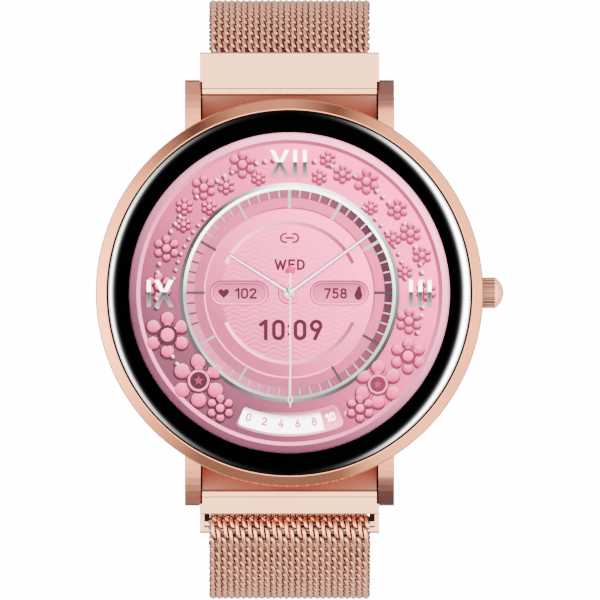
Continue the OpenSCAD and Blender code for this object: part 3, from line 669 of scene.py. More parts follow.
def centre_finish():
    """Pink field with faint wavy lines pressed into it, in painted shade at lower left and lit at upper
    right.
    """
    s = Shader("dial_centre_pink", Roughness=0.42, Specular_IOR_Level=0.1)
    parts = s.split(s.place())
    turn = s.maths("SINE", s.maths("MULTIPLY", parts["X"], TAU / (WAVE_LENGTH * MM)))
    height = s.maths("ADD", s.maths("MULTIPLY", turn, -WAVE_HEIGHT * MM), parts["Y"])
    line = s.between(s.maths("PINGPONG", height, WAVE_SPACING / 2 * MM), 0.0, 0.09 * MM, 1.0, 0.0, True)
    # Painted light and shade: the field runs from a shaded tone at lower left to a lit tone at upper right
    across = s.between(s.maths("ADD", parts["X"], parts["Y"]), -10.5 * MM, 10.5 * MM)
    field = s.ramp(across, [(0.0, (0.44, 0.065, 0.14)), (1.0, (0.93, 0.1, 0.27))])
    s.shine(s.blend(s.maths("MULTIPLY", line, 0.62), field, (0.95, 0.22, 0.42)), GLOW)
    s.bump(line, 0.00001)
    return s.material


def gauge_white():
    """White scale, with a painted grey shadow under its upper edge."""
    s = Shader("gauge_white", Specular_IOR_Level=0.1)
    # Painted shadow: grey near the inner edge, white further out
    tone = s.ramp(s.between(s.from_axis(), GAUGE_R0 * MM, (GAUGE_R0 + 0.7) * MM),
                  [(0.0, (0.16, 0.11, 0.12)), (0.45, (0.6, 0.52, 0.54)), (1.0, (0.95, 0.9, 0.91))])
    s.shine(tone, 5.0)
    s.grain(1200.0, 0.45, 0.55)
    return s.material


def hub_facets():
    """Cut stone: flat facets painted light and dark grey as reflections."""
    s = Shader("hub_silver", Metallic=0.6, Roughness=0.2)
    cells = s.node("ShaderNodeTexVoronoi")
    cells.inputs["Scale"].default_value = 3400.0
    s.link(s.place(), cells.inputs["Vector"])
    # Painted reflections: each facet is given a light or dark grey that glows
    tone = s.ramp(s.split(cells.outputs["Color"])["X"],
                  [(0.1, (0.03, 0.035, 0.033)), (0.45, (0.3, 0.33, 0.31)), (0.8, (0.9, 0.92, 0.9))])
    s.shine(tone, 0.7)
    return s.material


# ---------- woven band ----------

# Driving sizes of the strap loop, the same as the CAD model's
LOOP_HALF_W = 32.7            # middle of the band at the loop's widest
BEND_Z = -14.5                # where the lower bends begin
BEND_R = 24.0                 # middle radius of the lower bends
UPPER_START = (26.4, 4.7)     # middle of the band under the upper end link
SLOT_Y = 25.55                # middle of the band in the lower frame's slot
SLOT_Z = 4.0                  # foot of the slot
SLOT_BEND_R = 3.0
FOLD_Z = 4.9
FOLD_R = 1.3
TAIL_HALF_W = 34.2            # middle of the folded tail at its widest
FLOOR_HINGE_A = -68           # angle round a lower bend where the floor length begins
CLASP_A = -24                 # angle round the bend where the tail ends inside the clasp

WIRE_R = 0.22
PITCH = 1.38                  # along the strap's width, one turn of a wire
TURNS = 13
ROW_STEP = 0.98
REACH = 0.95                  # how far a turn leans along the strap
CREST = 0.3                   # height of a wire's middle over the band's middle
LEAN = 0.49                   # how much steeper a strand is in its middle
SQUASH = 1.8                  # how flat the rolled strands are
WIRE_SIDES = 6
WIRE_STEPS = 11               # points along one turn
PATH_STEP = 0.2
ROD_STEP = 0.49               # straight inner rods across the strap
ROD_R = 0.17
ROD_SIDES = 5


def arc_run(cy, cz, r, a0, a1):
    count = max(2, int(abs(math.radians(a1 - a0)) * r / PATH_STEP))
    angles = np.radians(np.linspace(a0, a1, count))
    return np.stack([cy + r * np.cos(angles), cz + r * np.sin(angles)], axis=1)


def line_run(y0, z0, y1, z1):
    count = max(2, int(math.hypot(y1 - y0, z1 - z0) / PATH_STEP))
    return np.stack([np.linspace(y0, y1, count), np.linspace(z0, z1, count)], axis=1)


def leaning_arc(start_y, start_z, end_y):
    """Radius and angle of an arc from a start to the vertical tangent at the loop's side."""
    dy, dz = end_y - start_y, start_z - BEND_Z
    angle = 2 * math.degrees(math.atan(dy / dz))
    return dz / math.sin(math.radians(angle)), angle


class BandPath:
    """Middle line of the whole band, from the end link round the wrist to the clasp."""

    def __init__(self):
        floor_y = LOOP_HALF_W - BEND_R
        upper_r, upper_a = leaning_arc(*UPPER_START, LOOP_HALF_W)
        lower_r, lower_a = leaning_arc(SLOT_Y, SLOT_Z, LOOP_HALF_W)
        lower_r -= SLOT_BEND_R
        tail_y = SLOT_Y + 2 * FOLD_R
        tail_r, tail_a = leaning_arc(tail_y, SLOT_Z, TAIL_HALF_W)
        tail_r -= SLOT_BEND_R
        bottom = BEND_Z - BEND_R
        runs = {
            "upper": arc_run(LOOP_HALF_W - upper_r, BEND_Z, upper_r, upper_a, 0),
            "upper_side": arc_run(floor_y, BEND_Z, BEND_R, 0, FLOOR_HINGE_A),
            "floor_start": arc_run(floor_y, BEND_Z, BEND_R, FLOOR_HINGE_A, -90),
            "floor": line_run(floor_y, bottom, -floor_y, bottom),
            "floor_end": arc_run(-floor_y, BEND_Z, BEND_R, -90, -180 - FLOOR_HINGE_A),
            "lower_side": arc_run(-floor_y, BEND_Z, BEND_R, -180 - FLOOR_HINGE_A, -180),
            "lower": arc_run(lower_r - LOOP_HALF_W, BEND_Z, lower_r, 180, 180 - lower_a),
            "slot_bend": arc_run(-SLOT_Y - SLOT_BEND_R, SLOT_Z, SLOT_BEND_R, -lower_a, 0),
            "slot": line_run(-SLOT_Y, SLOT_Z, -SLOT_Y, FOLD_Z),
            "fold": arc_run(-SLOT_Y - FOLD_R, FOLD_Z, FOLD_R, 0, 180),
            "fold_end": line_run(-tail_y, FOLD_Z, -tail_y, SLOT_Z),
            "tail_bend": arc_run(-tail_y - SLOT_BEND_R, SLOT_Z, SLOT_BEND_R, 0, -tail_a),
            "tail": arc_run(tail_r - TAIL_HALF_W, BEND_Z, tail_r, 180 - tail_a, 180),
            "tail_end": arc_run(-floor_y, BEND_Z, TAIL_HALF_W - floor_y, 180, 180 - CLASP_A),
        }
        points = np.concatenate(list(runs.values()))
        steps = np.hypot(*np.diff(points, axis=0).T)
        keep = np.concatenate([[True], steps > 1e-6])
        along = np.concatenate([[0.0], np.cumsum(steps)])
        self.ends = {}
        count = 0
        for name, run in runs.items():
            count += len(run)
            self.ends[name] = float(along[count - 1])
        self.points = points[keep]
        self.along = along[keep]
        tangents = np.gradient(self.points, self.along, axis=0)
        self.angles = np.unwrap(np.arctan2(tangents[:, 1], tangents[:, 0]))
        self.length = float(self.along[-1])

    def at(self, s):
        """Points and outward normals, in Y and Z, at distances along the band."""
        y = np.interp(s, self.along, self.points[:, 0])
        z = np.interp(s, self.along, self.points[:, 1])
        a = np.interp(s, self.along, self.angles)
        return y, z, -np.sin(a), np.cos(a)


def wire_row(path, middle, odd):
    """One flattened spiral wire across the strap: its middle line, the band's normals there and its lift."""
    first = -math.pi if odd else 0.0
    t = first + np.linspace(0, TAU * TURNS, TURNS * WIRE_STEPS + 1)
    x = -TURNS * PITCH / 2 - first * PITCH / TAU + PITCH / TAU * (t + LEAN * np.sin(2 * t))
    lift = CREST * np.tanh(SQUASH * np.sin(t)) / math.tanh(SQUASH)
    y, z, ny, nz = path.at(middle + REACH * np.cos(t))
    return np.stack([x, y + lift * ny, z + lift * nz], axis=1), np.stack([0 * x, ny, nz], axis=1), lift


def inner_rod(path, at):
    """One straight rod across the strap, inside the spirals."""
    y, z, ny, nz = path.at(at)
    half = TURNS * PITCH / 2 - 0.1
    points = np.array([[x, y, z] for x in np.linspace(-half, half, 5)])
    return points, np.tile([0.0, ny, nz], (5, 1)), np.zeros(5)


def tube(points, normals, lift, radius, sides):
    """A closed round tube along points, with how far each vertex is from the band's middle."""
    ways = np.gradient(points, axis=0)
    ways /= np.linalg.norm(ways, axis=1, keepdims=True)
    side = np.cross(ways, [1.0, 0.0, 0.0] if abs(ways[0, 0]) < 0.99 else [0.0, 0.6, 0.8])
    side /= np.linalg.norm(side, axis=1, keepdims=True)
    other = np.cross(side, ways)
    turn = np.linspace(0, TAU, sides, endpoint=False)
    spokes = side[:, None] * np.cos(turn)[None, :, None] + other[:, None] * np.sin(turn)[None, :, None]
    spokes *= radius
    heights = np.abs(lift[:, None] + (spokes * normals[:, None]).sum(axis=2)) / (CREST + WIRE_R)
    count = len(points)
    ring = np.arange(count - 1)[:, None] * sides
    k = np.arange(sides)[None]
    m = (k + 1) % sides
    sheet = np.stack([ring + k, ring + sides + k, ring + sides + m, ring + m], axis=2).reshape(-1, 4)
    caps = [list(range(sides)), list(range(count * sides - 1, (count - 1) * sides - 1, -1))]
    return (points[:, None] + spokes).reshape(-1, 3), sheet, caps, heights.reshape(-1)


def woven_piece(name, path, start, end, material):
    """The wires whose middles lie between two distances along the band, as one object."""
    vertices = []
    heights = []
    faces = []
    base = 0
    rows = range(math.ceil(start / ROW_STEP), math.ceil(end / ROW_STEP))
    parts = [tube(*wire_row(path, row * ROW_STEP, row % 2), WIRE_R, WIRE_SIDES) for row in rows]
    rods = range(math.ceil(start / ROD_STEP), math.ceil(end / ROD_STEP))
    parts += [tube(*inner_rod(path, rod * ROD_STEP), ROD_R, ROD_SIDES) for rod in rods]
    for points, sheet, caps, depth in parts:
        vertices.append(points)
        heights.append(depth)
        faces += (sheet + base).tolist()
        faces += [[base + i for i in cap] for cap in caps]
        base += len(points)
    mesh = bpy.data.meshes.new(name)
    mesh.from_pydata((np.concatenate(vertices) * MM).tolist(), [], faces)
    mesh.attributes.new("height", "FLOAT", "POINT").data.foreach_set("value", np.concatenate(heights))
    piece = finish_object(name, mesh, material, 70)
    return piece


def side_hinge_blend(piece):
    """Bakes a piece's placement into its mesh."""
    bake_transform(piece)


def make_band():
    path = BandPath()
    wire = wire_metal()
    ends = path.ends
    side_middle = (ends["upper"] + ends["upper_side"]) / 2
    lower_middle = (ends["floor_end"] + ends["lower_side"]) / 2
    floor_from = ends["upper_side"] + 8.0

    upper = woven_piece("mesh_upper", path, 0.4, side_middle, wire)
    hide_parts("upper_mesh")
    side_hinge_blend(upper)

    side = woven_piece("mesh_upper_side", path, side_middle, floor_from, wire)
    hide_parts("upper_side_mesh")
    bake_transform(side)

    floor = woven_piece("mesh_floor", path, floor_from, ends["floor_end"], wire)
    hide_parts("floor_mesh")
    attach(floor, "strap_floor")

    lower_side = woven_piece("mesh_lower_side", path, ends["floor_end"], lower_middle, wire)
    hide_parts("lower_side_mesh")
    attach(lower_side, "strap_lower_side")

    lower = woven_piece("mesh_lower", path, lower_middle, ends["slot_bend"], wire)
    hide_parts("lower_mesh")
    side_hinge_blend(lower)

    fold = woven_piece("mesh_fold", path, ends["slot_bend"], ends["fold"], wire)
    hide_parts("folded_mesh")
    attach(fold, "strap_lower")

    tail_split = ends["tail_bend"] + 8.0
    tail = woven_piece("mesh_tail", path, ends["fold"], tail_split, wire)
    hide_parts("tail_mesh")
    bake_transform(tail)

    tail_end = woven_piece("mesh_tail_end", path, tail_split, path.length - 0.5, wire)
    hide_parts("tail_end_mesh")
    side_hinge_blend(tail_end)


# ---------- dial ----------

# Radii of the dial's rings
RIM_R = 17.98
WALL_R = 17.2
FIELD_R = 16.78
SILVER_R1 = 12.33
SILVER_MID_R = 11.96
SILVER_R0 = 11.6
TRACK_R = 10.68               # between the two tracks
DISC_R = 9.5
STEP_R1 = 8.06
STEP_R0 = 7.65
RELIEF_Z = DIAL_Z + 0.05      # the field's face, where numerals, flowers and beads stand


def dial_piece(build, name, material, smooth_angle=35):
    piece = build.make(name, material, smooth_angle)
    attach(piece, "case")
    return piece


def printed(build, name, shade, lit, smooth_angle=35, **how):
    """A dial piece in one printed colour; how is what dial_print takes."""
    return dial_piece(build, name, dial_print(f"{name}_print", shade, lit, **how), smooth_angle)


def ring(outline, name, shade, lit, sides=180, **how):
    """A printed ring of the dial; the outline's heights start at the dial's foot."""
    build = Build()
    lathe(build, [[r, DIAL_Z + z] for r, z in outline], sides)
    printed(build, name, shade, lit, **how)


def make_rings():
    """The pink rings outside the silver one."""
    ring([[WALL_R, 0], [RIM_R, 0], [RIM_R + 0.04, 0.08], [RIM_R - 0.08, 0.22], [WALL_R, 0.22]],
         "dial_rim", (0.1, 0.025, 0.045), (0.97, 0.26, 0.45), way=(0.85, 1.15), curve=1.6)
    ring([[FIELD_R, 0], [WALL_R, 0], [WALL_R, 0.21], [FIELD_R, 0.06]],
         "dial_wall", (0.75, 0.15, 0.3), (0.2, 0.03, 0.062))
    ring([[SILVER_R1 - 0.1, 0], [FIELD_R, 0], [FIELD_R, 0.055], [14.4, 0.05], [SILVER_R1 - 0.1, 0.05]],
         "dial_field", (0.1, 0.026, 0.046), (0.93, 0.085, 0.27), curve=1.3)


def make_silver_ring():
    z = DIAL_Z
    outer = Build()
    lathe(outer, [[SILVER_MID_R, z], [SILVER_R1, z], [SILVER_R1 + 0.03, z + 0.16],
                  [SILVER_MID_R, z + 0.33]], 240)
    dial_piece(outer, "dial_silver_bevel", painted_silver_reflection("dial_silver_outer", GLOW, [
        (0.0, 0.046), (0.083, 0.034), (0.16, 0.03), (0.25, 0.13), (0.33, 0.03), (0.42, 0.026), (0.5, 0.08),
        (0.58, 0.2), (0.67, 0.8), (0.75, 0.9), (0.81, 0.2), (0.86, 0.024), (0.93, 0.022), (1.0, 0.046)]))
    inner = Build()
    lathe(inner, [[SILVER_R0, z], [SILVER_MID_R, z], [SILVER_MID_R, z + 0.33], [SILVER_R0 + 0.04, z + 0.3],
                  [SILVER_R0, z + 0.2]], 240)
    dial_piece(inner, "dial_silver_band", painted_silver_reflection("dial_silver_inner", 4.0, [
        (0.0, 0.15), (0.083, 0.18), (0.167, 0.24), (0.25, 0.12), (0.33, 0.16), (0.42, 0.2), (0.5, 0.34),
        (0.58, 0.9), (0.75, 0.85), (0.83, 0.95), (0.93, 0.95), (0.98, 0.4), (1.0, 0.15)]))


def make_tracks():
    """The two rings that carry the ticks."""
    ring([[TRACK_R, 0], [SILVER_R0, 0], [SILVER_R0, 0.16], [11.3, 0.09], [11.0, 0.07], [TRACK_R, 0.08]],
         "dial_outer_track", (0.42, 0.08, 0.155), (0.035, 0.01, 0.016), way=(1, 0.3), reach=11)
    ring([[DISC_R, 0], [TRACK_R, 0], [TRACK_R, 0.13], [TRACK_R - 0.12, 0.14], [DISC_R, 0.1]],
         "dial_inner_track", (0.24, 0.046, 0.086), (0.5, 0.06, 0.15), reach=13)


def make_ticks():
    z = DIAL_Z
    light = Build()
    dark = Build()
    for i in range(60):
        a = 90 - 6 * i
        five = i % 5 == 0
        start = DISC_R + 0.02 if five else TRACK_R + 0.05
        width = 0.17
        if five:
            width = 0.36 if i in (0, 5, 10) else 0.28
        # Painted shade: the ticks at these places are a darker, shaded copy of the others
        shaded = i in (15, 20, 25) or 42 <= i <= 50
        bar(dark if shaded else light, polar(start, a), polar(SILVER_R0 - 0.02, a), width, width,
            z + 0.09, z + 0.2, z + 0.26)
    printed(light, "dial_lit_ticks", (0.24, 0.21, 0.22), (0.3, 0.26, 0.27))
    printed(dark, "dial_shaded_ticks", (0.045, 0.036, 0.04), (0.025, 0.02, 0.022))


def make_raised_ring():
    ring([[STEP_R0, 0], [DISC_R, 0], [DISC_R, 0.17], [DISC_R - 0.08, 0.2], [STEP_R1, 0.2], [STEP_R0, 0.2]],
         "dial_raised_ring", (0.3, 0.045, 0.1), (0.97, 0.12, 0.32), reach=11)
    ring([[DISC_R - 0.06, 0], [DISC_R + 0.12, 0], [DISC_R + 0.12, 0.12], [DISC_R - 0.06, 0.208]],
         "dial_ring_edge", (0.95, 0.16, 0.33), (0.24, 0.035, 0.075), reach=8)


def make_centre():
    """The sunk middle with its wavy lines, and the two steps along its edge."""
    z = DIAL_Z
    recess = Build()
    disc(recess, [[STEP_R0 + 0.01, z + 0.2], [STEP_R0 - 0.04, z + 0.19], [4.0, z + 0.19], [0, z + 0.19]], z)
    dial_piece(recess, "dial_centre", centre_finish())
    steps = Build()
    for middle in (90, -90):
        angles = np.linspace(middle - 65, middle + 65, 49)
        lines = [[polar(r, a) for a in angles] for r in (STEP_R0, STEP_R1)]
        strip(steps, between_lines(*lines, z + 0.15, z + 0.206))
    printed(steps, "dial_step_arcs", (0.93, 0.26, 0.4), (0.19, 0.028, 0.058), way=(1, 0.15), reach=7)


# Layers of the two sunk windows: name, length, width, height, lower tone, upper tone, reach of the tones; the
# tones are painted shade, darker toward the top
WINDOW_LAYERS = [
    ("dial_pill_outlines", 6.66, 2.82, 0.036, (0.3, 0.045, 0.1), (0.07, 0.011, 0.024), 1.5),
    ("dial_pill_bands", 6.42, 2.58, 0.042, (0.8, 0.13, 0.28), (0.4, 0.06, 0.14), 1.3),
    ("dial_pill_walls", 6.0, 2.2, 0.048, (0.36, 0.055, 0.12), (0.11, 0.017, 0.036), 1.1),
    ("dial_pills", 5.8, 2.0, 0.054, (0.52, 0.085, 0.19), (0.3, 0.05, 0.11), 1.1),
]


def make_pills():
    """Two sunk windows, each with a dark outline, a light band and a second outline round it."""
    z = DIAL_Z + 0.18
    for name, length, width, top, lower, upper, reach in WINDOW_LAYERS:
        layer = Build()
        for x in (-5.65, 5.6):
            prism(layer, capsule(x, -0.03, length, width), z, z + top, 0.01)
        printed(layer, name, lower, upper, way=(0, 1), reach=reach)


def heart_outline(cx, cy, size, steps=36):
    points = []
    for i in range(steps):
        t = TAU * i / steps
        x = 16 * math.sin(t) ** 3
        y = 13 * math.cos(t) - 5 * math.cos(2 * t) - 2 * math.cos(3 * t) - math.cos(4 * t)
        points.append([cx - x * size / 32, cy + (y + 2) * size / 32])
    return points


def flame_outline(cx, cy, size, steps=36):
    """A drop with a leaning tip."""
    points = []
    for i in range(steps):
        t = TAU * i / steps - math.pi / 2
        r = 0.5 + 0.34 * max(0.0, math.sin(t)) ** 4
        x = 0.74 * r * math.cos(t) * (1 - 0.35 * max(0.0, math.sin(t)))
        y = r * math.sin(t)
        points.append([cx + (x + 0.16 * max(0.0, y) ** 2) * size, cy + (y - 0.1) * size])
    return points


def star_outline(cx, cy, size):
    points = []
    for i in range(10):
        r = size if i % 2 == 0 else size * 0.45
        x, y = polar(r, 90 + 36 * i)
        points.append([cx + x, cy + y])
    return points


LINK_Y = 6.16                 # height of the link sign on the dial


def chain_link(build, side, z):
    """Half of an open link: a round end with two short arms."""
    middle = 0 if side > 0 else 180
    lines = []
    for r in (0.37, 0.56):
        line = bow(side * 0.52, LINK_Y, r, r, middle - 90, middle + 90, 16)
        lines.append([(side * 0.3, line[0][1])] + line + [(side * 0.3, line[-1][1])])
    strip(build, between_lines(*lines, z, z + 0.06))


def make_readouts():
    z = DIAL_Z + 0.17
    words = Build()
    write(words, "WED", 1.2, 0.02, 3.17, z, 0.06, 0.23, 0.19, 1.38)
    write(words, "10", 2.33, -1.99, -4.17, z, 0.07, 0.41, 0.5, 1.12)
    write(words, "09", 2.33, 2.09, -4.17, z, 0.07, 0.41, 0.37, 1.12)
    for dy in (-0.45, 0.45):
        prism(words, capsule(-0.06, -4.2 + dy, 0.34, 0.33), z, z + 0.07, 0.02)
    write(words, "102", 1.2, -4.93, -0.07, z + 0.04, 0.05, 0.21, 0.15, 1.3)
    write(words, "758", 1.2, 5.19, -0.07, z + 0.04, 0.05, 0.21, 0.15, 1.2)
    prism(words, heart_outline(-7.4, -0.1, 1.2), z + 0.04, z + 0.09, 0.02)
    prism(words, flame_outline(7.74, -0.1, 1.2), z + 0.04, z + 0.09, 0.02)
    for side in (-1, 1):
        chain_link(words, side, z)
    bar(words, (-0.47, LINK_Y), (0.47, LINK_Y), 0.2, 0.2, z, z + 0.05, z + 0.07)
    printed(words, "dial_readouts", (0.036, 0.005, 0.012), (0.04, 0.006, 0.013))


GAUGE_R0, GAUGE_R1 = 13.75, 15.85
GAUGE_HALF = 21.6             # half of the gauge's angle
GAUGE_SPLIT = 14.4            # where its coloured end begins, from six o'clock


def rounded_plate(build, grow, a0, a1, z0, z1, round_start=True, round_end=True):
    """A curved plate on the gauge's rings whose ends have rounded corners."""
    corner = 0.34 + grow
    r0, r1 = GAUGE_R0 - grow, GAUGE_R1 + grow
    turn = math.degrees(corner / ((r0 + r1) / 2))
    quarter = [t * math.pi / 12 for t in range(7)]
    stations = []
    if round_start:
        stations = [(a0 + turn * (1 - math.cos(t)), corner * (1 - math.sin(t))) for t in quarter]
    inner0 = a0 + turn * round_start
    inner1 = a1 - turn * round_end
    stations += [(a, 0.0) for a in np.linspace(inner0, inner1, 31)[int(round_start):]]
    if round_end:
        stations += [(a1 - turn * (1 - math.sin(t)), corner * (1 - math.cos(t))) for t in quarter[1:]]
    lines = [[polar(r0 + c, a) for a, c in stations], [polar(r1 - c, a) for a, c in stations]]
    strip(build, between_lines(*lines, z0, z1))


def make_gauge():
    """Curved gauge at six o'clock, with even numbers to ten."""
    z = DIAL_Z + 0.04
    start, split, end = -90 - GAUGE_HALF, -90 + GAUGE_SPLIT, -90 + GAUGE_HALF
    border = Build()
    rounded_plate(border, 0.28, start - 1.1, end + 1.1, z, z + 0.08)
    printed(border, "gauge_border", (0.8, 0.2, 0.33), (0.12, 0.026, 0.045), way=(-0.3, 1), reach=2.2,
            middle=(0, -14.4))
    white = Build()
    rounded_plate(white, 0, start, split, z, z + 0.1, round_end=False)
    dial_piece(white, "gauge_scale", gauge_white())
    pink = Build()
    rounded_plate(pink, 0, split, end, z, z + 0.1, round_start=False)
    printed(pink, "gauge_end", (0.95, 0.16, 0.32), (0.3, 0.035, 0.08), way=(-0.3, 1), reach=1.1,
            middle=(4.7, -13.8))
    digits = Build()
    ten = Build()
    for i in range(6):
        a = -90 - 18.2 + 7.26 * i
        x, y = polar(14.72, a)
        if i < 5:
            write(digits, str(2 * i), 0.95, x, y, z + 0.08, 0.05, 0.2, 0.12, 1.2, math.radians(a + 90))
        else:
            write(ten, "10", 0.95, x, y, z + 0.08, 0.05, 0.17, 0.12, 1.1, math.radians(a + 90))
    printed(digits, "gauge_digits", (0.6, 0.06, 0.17), (0.6, 0.06, 0.17))
    printed(ten, "gauge_ten", (0.95, 0.92, 0.93), (0.95, 0.92, 0.93), glow=5.0)
    for side in (-1, 1):
        bolt = Build()
        outline = [(-0.12, -0.3), (0.1, 0.02), (-0.02, 0.02), (0.14, 0.34), (-0.16, -0.04), (-0.02, -0.04)]
        prism(bolt, [[side * 6.3 + x, -13.5 + y] for x, y in outline], z, z + 0.05)
        tone = (0.95, 0.5, 0.6) if side > 0 else (0.07, 0.012, 0.02)
        printed(bolt, f"spark_sign_{'right' if side > 0 else 'left'}", tone, tone)


def numeral(build, outline):
    """One raised part of a numeral, up to just under the glass."""
    prism(build, outline, RELIEF_Z, DIAL_TOP, 0.05)


def numeral_bar(build, x, y, tall):
    half = 0.245
    numeral(build, [[x - half, y - tall], [x + half, y - tall], [x + half, y + tall], [x - half, y + tall]])


def numeral_cross(build, x, y, tall):
    """The letter X as one closed outline with equal strokes."""
    arm, half = 0.83, 0.29
    quarter = [[-arm - half, -tall], [-arm + half, -tall], [0, -half * 1.3],
               [arm - half, -tall], [arm + half, -tall], [half, 0]]
    numeral(build, [[x + u, y + v] for u, v in quarter] + [[x - u, y - v] for u, v in quarter])


def make_numerals():
    tall = 1.52
    top_y = 14.52
    side_y = -0.08
    twelve = Build()
    numeral_cross(twelve, -1.1, top_y, tall)
    for x in (0.63, 1.72):
        numeral_bar(twelve, x, top_y, tall)
    dial_piece(twelve, "numeral_twelve", split_chrome("numeral_chrome_top", top_y, tall), 20)
    sides = Build()
    numeral_cross(sides, -14.11, side_y, tall)
    for x in (-15.81, 13.65, 14.7, 15.75):
        numeral_bar(sides, x, side_y, tall)
    dial_piece(sides, "numerals_three_nine", split_chrome("numeral_chrome_side", side_y, tall), 20)


def shadow(build, x, y, radius, lift):
    """A low dark disc just beside and under a raised shape."""
    points = [polar(radius, 30 * k) for k in range(12)]
    prism(build, [[x - 0.05 + px, y - 0.11 + py] for px, py in points], RELIEF_Z, RELIEF_Z + 0.005 + lift)


MEDALLION = 2.7               # flowers larger than this carry a ring and a star


def flower(petals, hearts, shadows, x, y, size):
    """Six drop-shaped petals round a raised button; size is the flower's radius."""
    z = RELIEF_Z
    thick = min(0.14 + 0.1 * size, DIAL_TOP - z - 0.1)
    for i in range(6):
        a = 90 + 60 * i
        px, py = polar(0.71 * size, a)
        dome(petals, (x + px, y + py), size * 0.28, size * 0.28, 0, z, thick)
        qx, qy = polar(0.5 * size, a)
        dome(petals, (x + qx, y + qy), size * 0.25, size * 0.15, math.radians(a), z, thick * 0.8)
        shadow(shadows, x + px, y + py, size * 0.28 + 0.13, 0.002 * i)
    shadow(shadows, x + 0.03, y + 0.03, size * 0.45 + 0.03, thick * 0.9)
    height = min(thick + 0.1, DIAL_TOP - z)
    if size > MEDALLION:
        height -= 0.13
    dome(hearts, (x, y), size * 0.41, size * 0.41, 0, z, height)


def medallion(rim, star, x, y, size):
    """Raised ring with a star on a large flower's button."""
    top = DIAL_TOP - 0.005
    r = size * 0.4
    outline = [[r * 0.8, top - 0.12], [r, top - 0.12], [r, top - 0.03], [r * 0.9, top], [r * 0.8, top - 0.03]]
    lathe(rim, outline, 40, (x, y))
    prism(star, star_outline(x, y, size * 0.2), top - 0.1, top, 0.02)


# Flowers on the left and on the right: degrees from twelve o'clock, distance from the middle, radius
LEFT_FLOWERS = [
    (20, 15.4, 1.5), (39, 15.3, 1.35), (30.5, 14, 0.95), (15, 13.4, 0.8), (50.5, 15.3, 0.95),
    (43, 13.2, 0.85), (57, 14.2, 0.85), (70, 14.7, 1.45), (87, 14.7, 1.5), (109, 14.5, 2.6),
    (134, 14.2, 3.05), (149, 15.1, 1.55),
]
RIGHT_FLOWERS = [
    (16, 15.7, 0.9), (14.5, 13.5, 0.85), (24, 14.7, 1.05), (34.5, 15.3, 1.45), (43.5, 13.3, 0.8),
    (52, 15.4, 1.15), (63.5, 15.2, 1.2), (62, 13.2, 0.9), (74, 15.5, 1.05), (79.5, 13.2, 0.85),
    (89, 15.4, 1.1), (103, 13.8, 1.45), (118, 15.1, 2.0), (136, 14.3, 2.75), (148.5, 15.2, 1.55),
]
FLOWERS = [(*polar(r, 90 - side * from_top), size)
           for side, flowers in ((-1, LEFT_FLOWERS), (1, RIGHT_FLOWERS))
           for from_top, r, size in flowers]


def make_flowers():
    petals = Build()
    hearts = Build()
    rings = Build()
    stars = Build()
    shadows = Build()
    for x, y, size in FLOWERS:
        flower(petals, hearts, shadows, x, y, size)
        if size > MEDALLION:
            medallion(rings, stars, x, y, size)
    dial_piece(petals, "flower_petals", relief_print(
        "petal_pink", (0.2, 0.016, 0.045), (0.52, 0.045, 0.135), (0.75, 0.19, 0.3)), 50)
    dial_piece(hearts, "flower_hearts", relief_print(
        "flower_heart_pink", (0.22, 0.016, 0.05), (0.64, 0.055, 0.165), (0.85, 0.22, 0.34)), 50)
    dial_piece(rings, "flower_rings", relief_print(
        "flower_ring_pink", (0.25, 0.03, 0.07), (0.6, 0.07, 0.17), (0.95, 0.3, 0.45)), 30)
    printed(stars, "flower_stars", (0.17, 0.015, 0.04), (0.22, 0.02, 0.05))
    make_beads(shadows)
    printed(shadows, "flower_shadows", (0.03, 0.008, 0.014), (0.15, 0.02, 0.045))


def make_beads(shadows):
    """Two chains of pearls on each side, broken where a flower lies over them."""
    beads = Build()
    for side in (-1, 1):
        places = [(polar(15.02, 90 - side * (7.0 + 3.72 * i)), 0.26) for i in range(32)]
        places += [(polar(12.62 + 0.05 * i, 90 - side * (41 + 4.2 * i)), 0.2) for i in range(11)]
        for (x, y), radius in places:
            if any(math.hypot(x - cx, y - cy) < 0.93 * size for cx, cy, size in FLOWERS):
                continue
            dome(beads, (x, y), radius, radius, 0, RELIEF_Z, radius + 0.03, 12, 4)
            shadow(shadows, x, y, radius + 0.06, 0.0)
    dial_piece(beads, "dial_beads", relief_print(
        "bead_pearl", (0.04, 0.01, 0.016), (0.24, 0.09, 0.12), (0.9, 0.75, 0.8), (0.75, 0.6), 2.3), 60)


def hand_point(length, minutes):
    return polar(length, 90 - 6 * minutes)


def make_hands():
    z = DIAL_Z
    hands = Build()
    edges = Build()
    for length, minutes, wide in ((7.9, 50.4, 0.34), (11.3, 9.0, 0.34)):
        tip = hand_point(length, minutes)
        start = hand_point(0.5, minutes)
        bar(hands, start, tip, wide * 0.62, wide * 0.4, z + 0.36, z + 0.4, z + 0.42)
        outer_tip = hand_point(length + 0.1, minutes)
        bar(edges, start, outer_tip, wide * 1.55, wide * 1.15, z + 0.3, z + 0.34, z + 0.36)
    printed(edges, "dial_hand_edges", (0.16, 0.06, 0.13), (0.2, 0.09, 0.17), smooth_angle=15)
    printed(hands, "dial_hands", (0.8, 0.56, 0.76), (0.85, 0.62, 0.8), glow=3.0, smooth_angle=15)
    make_second_hand()
    make_hub()


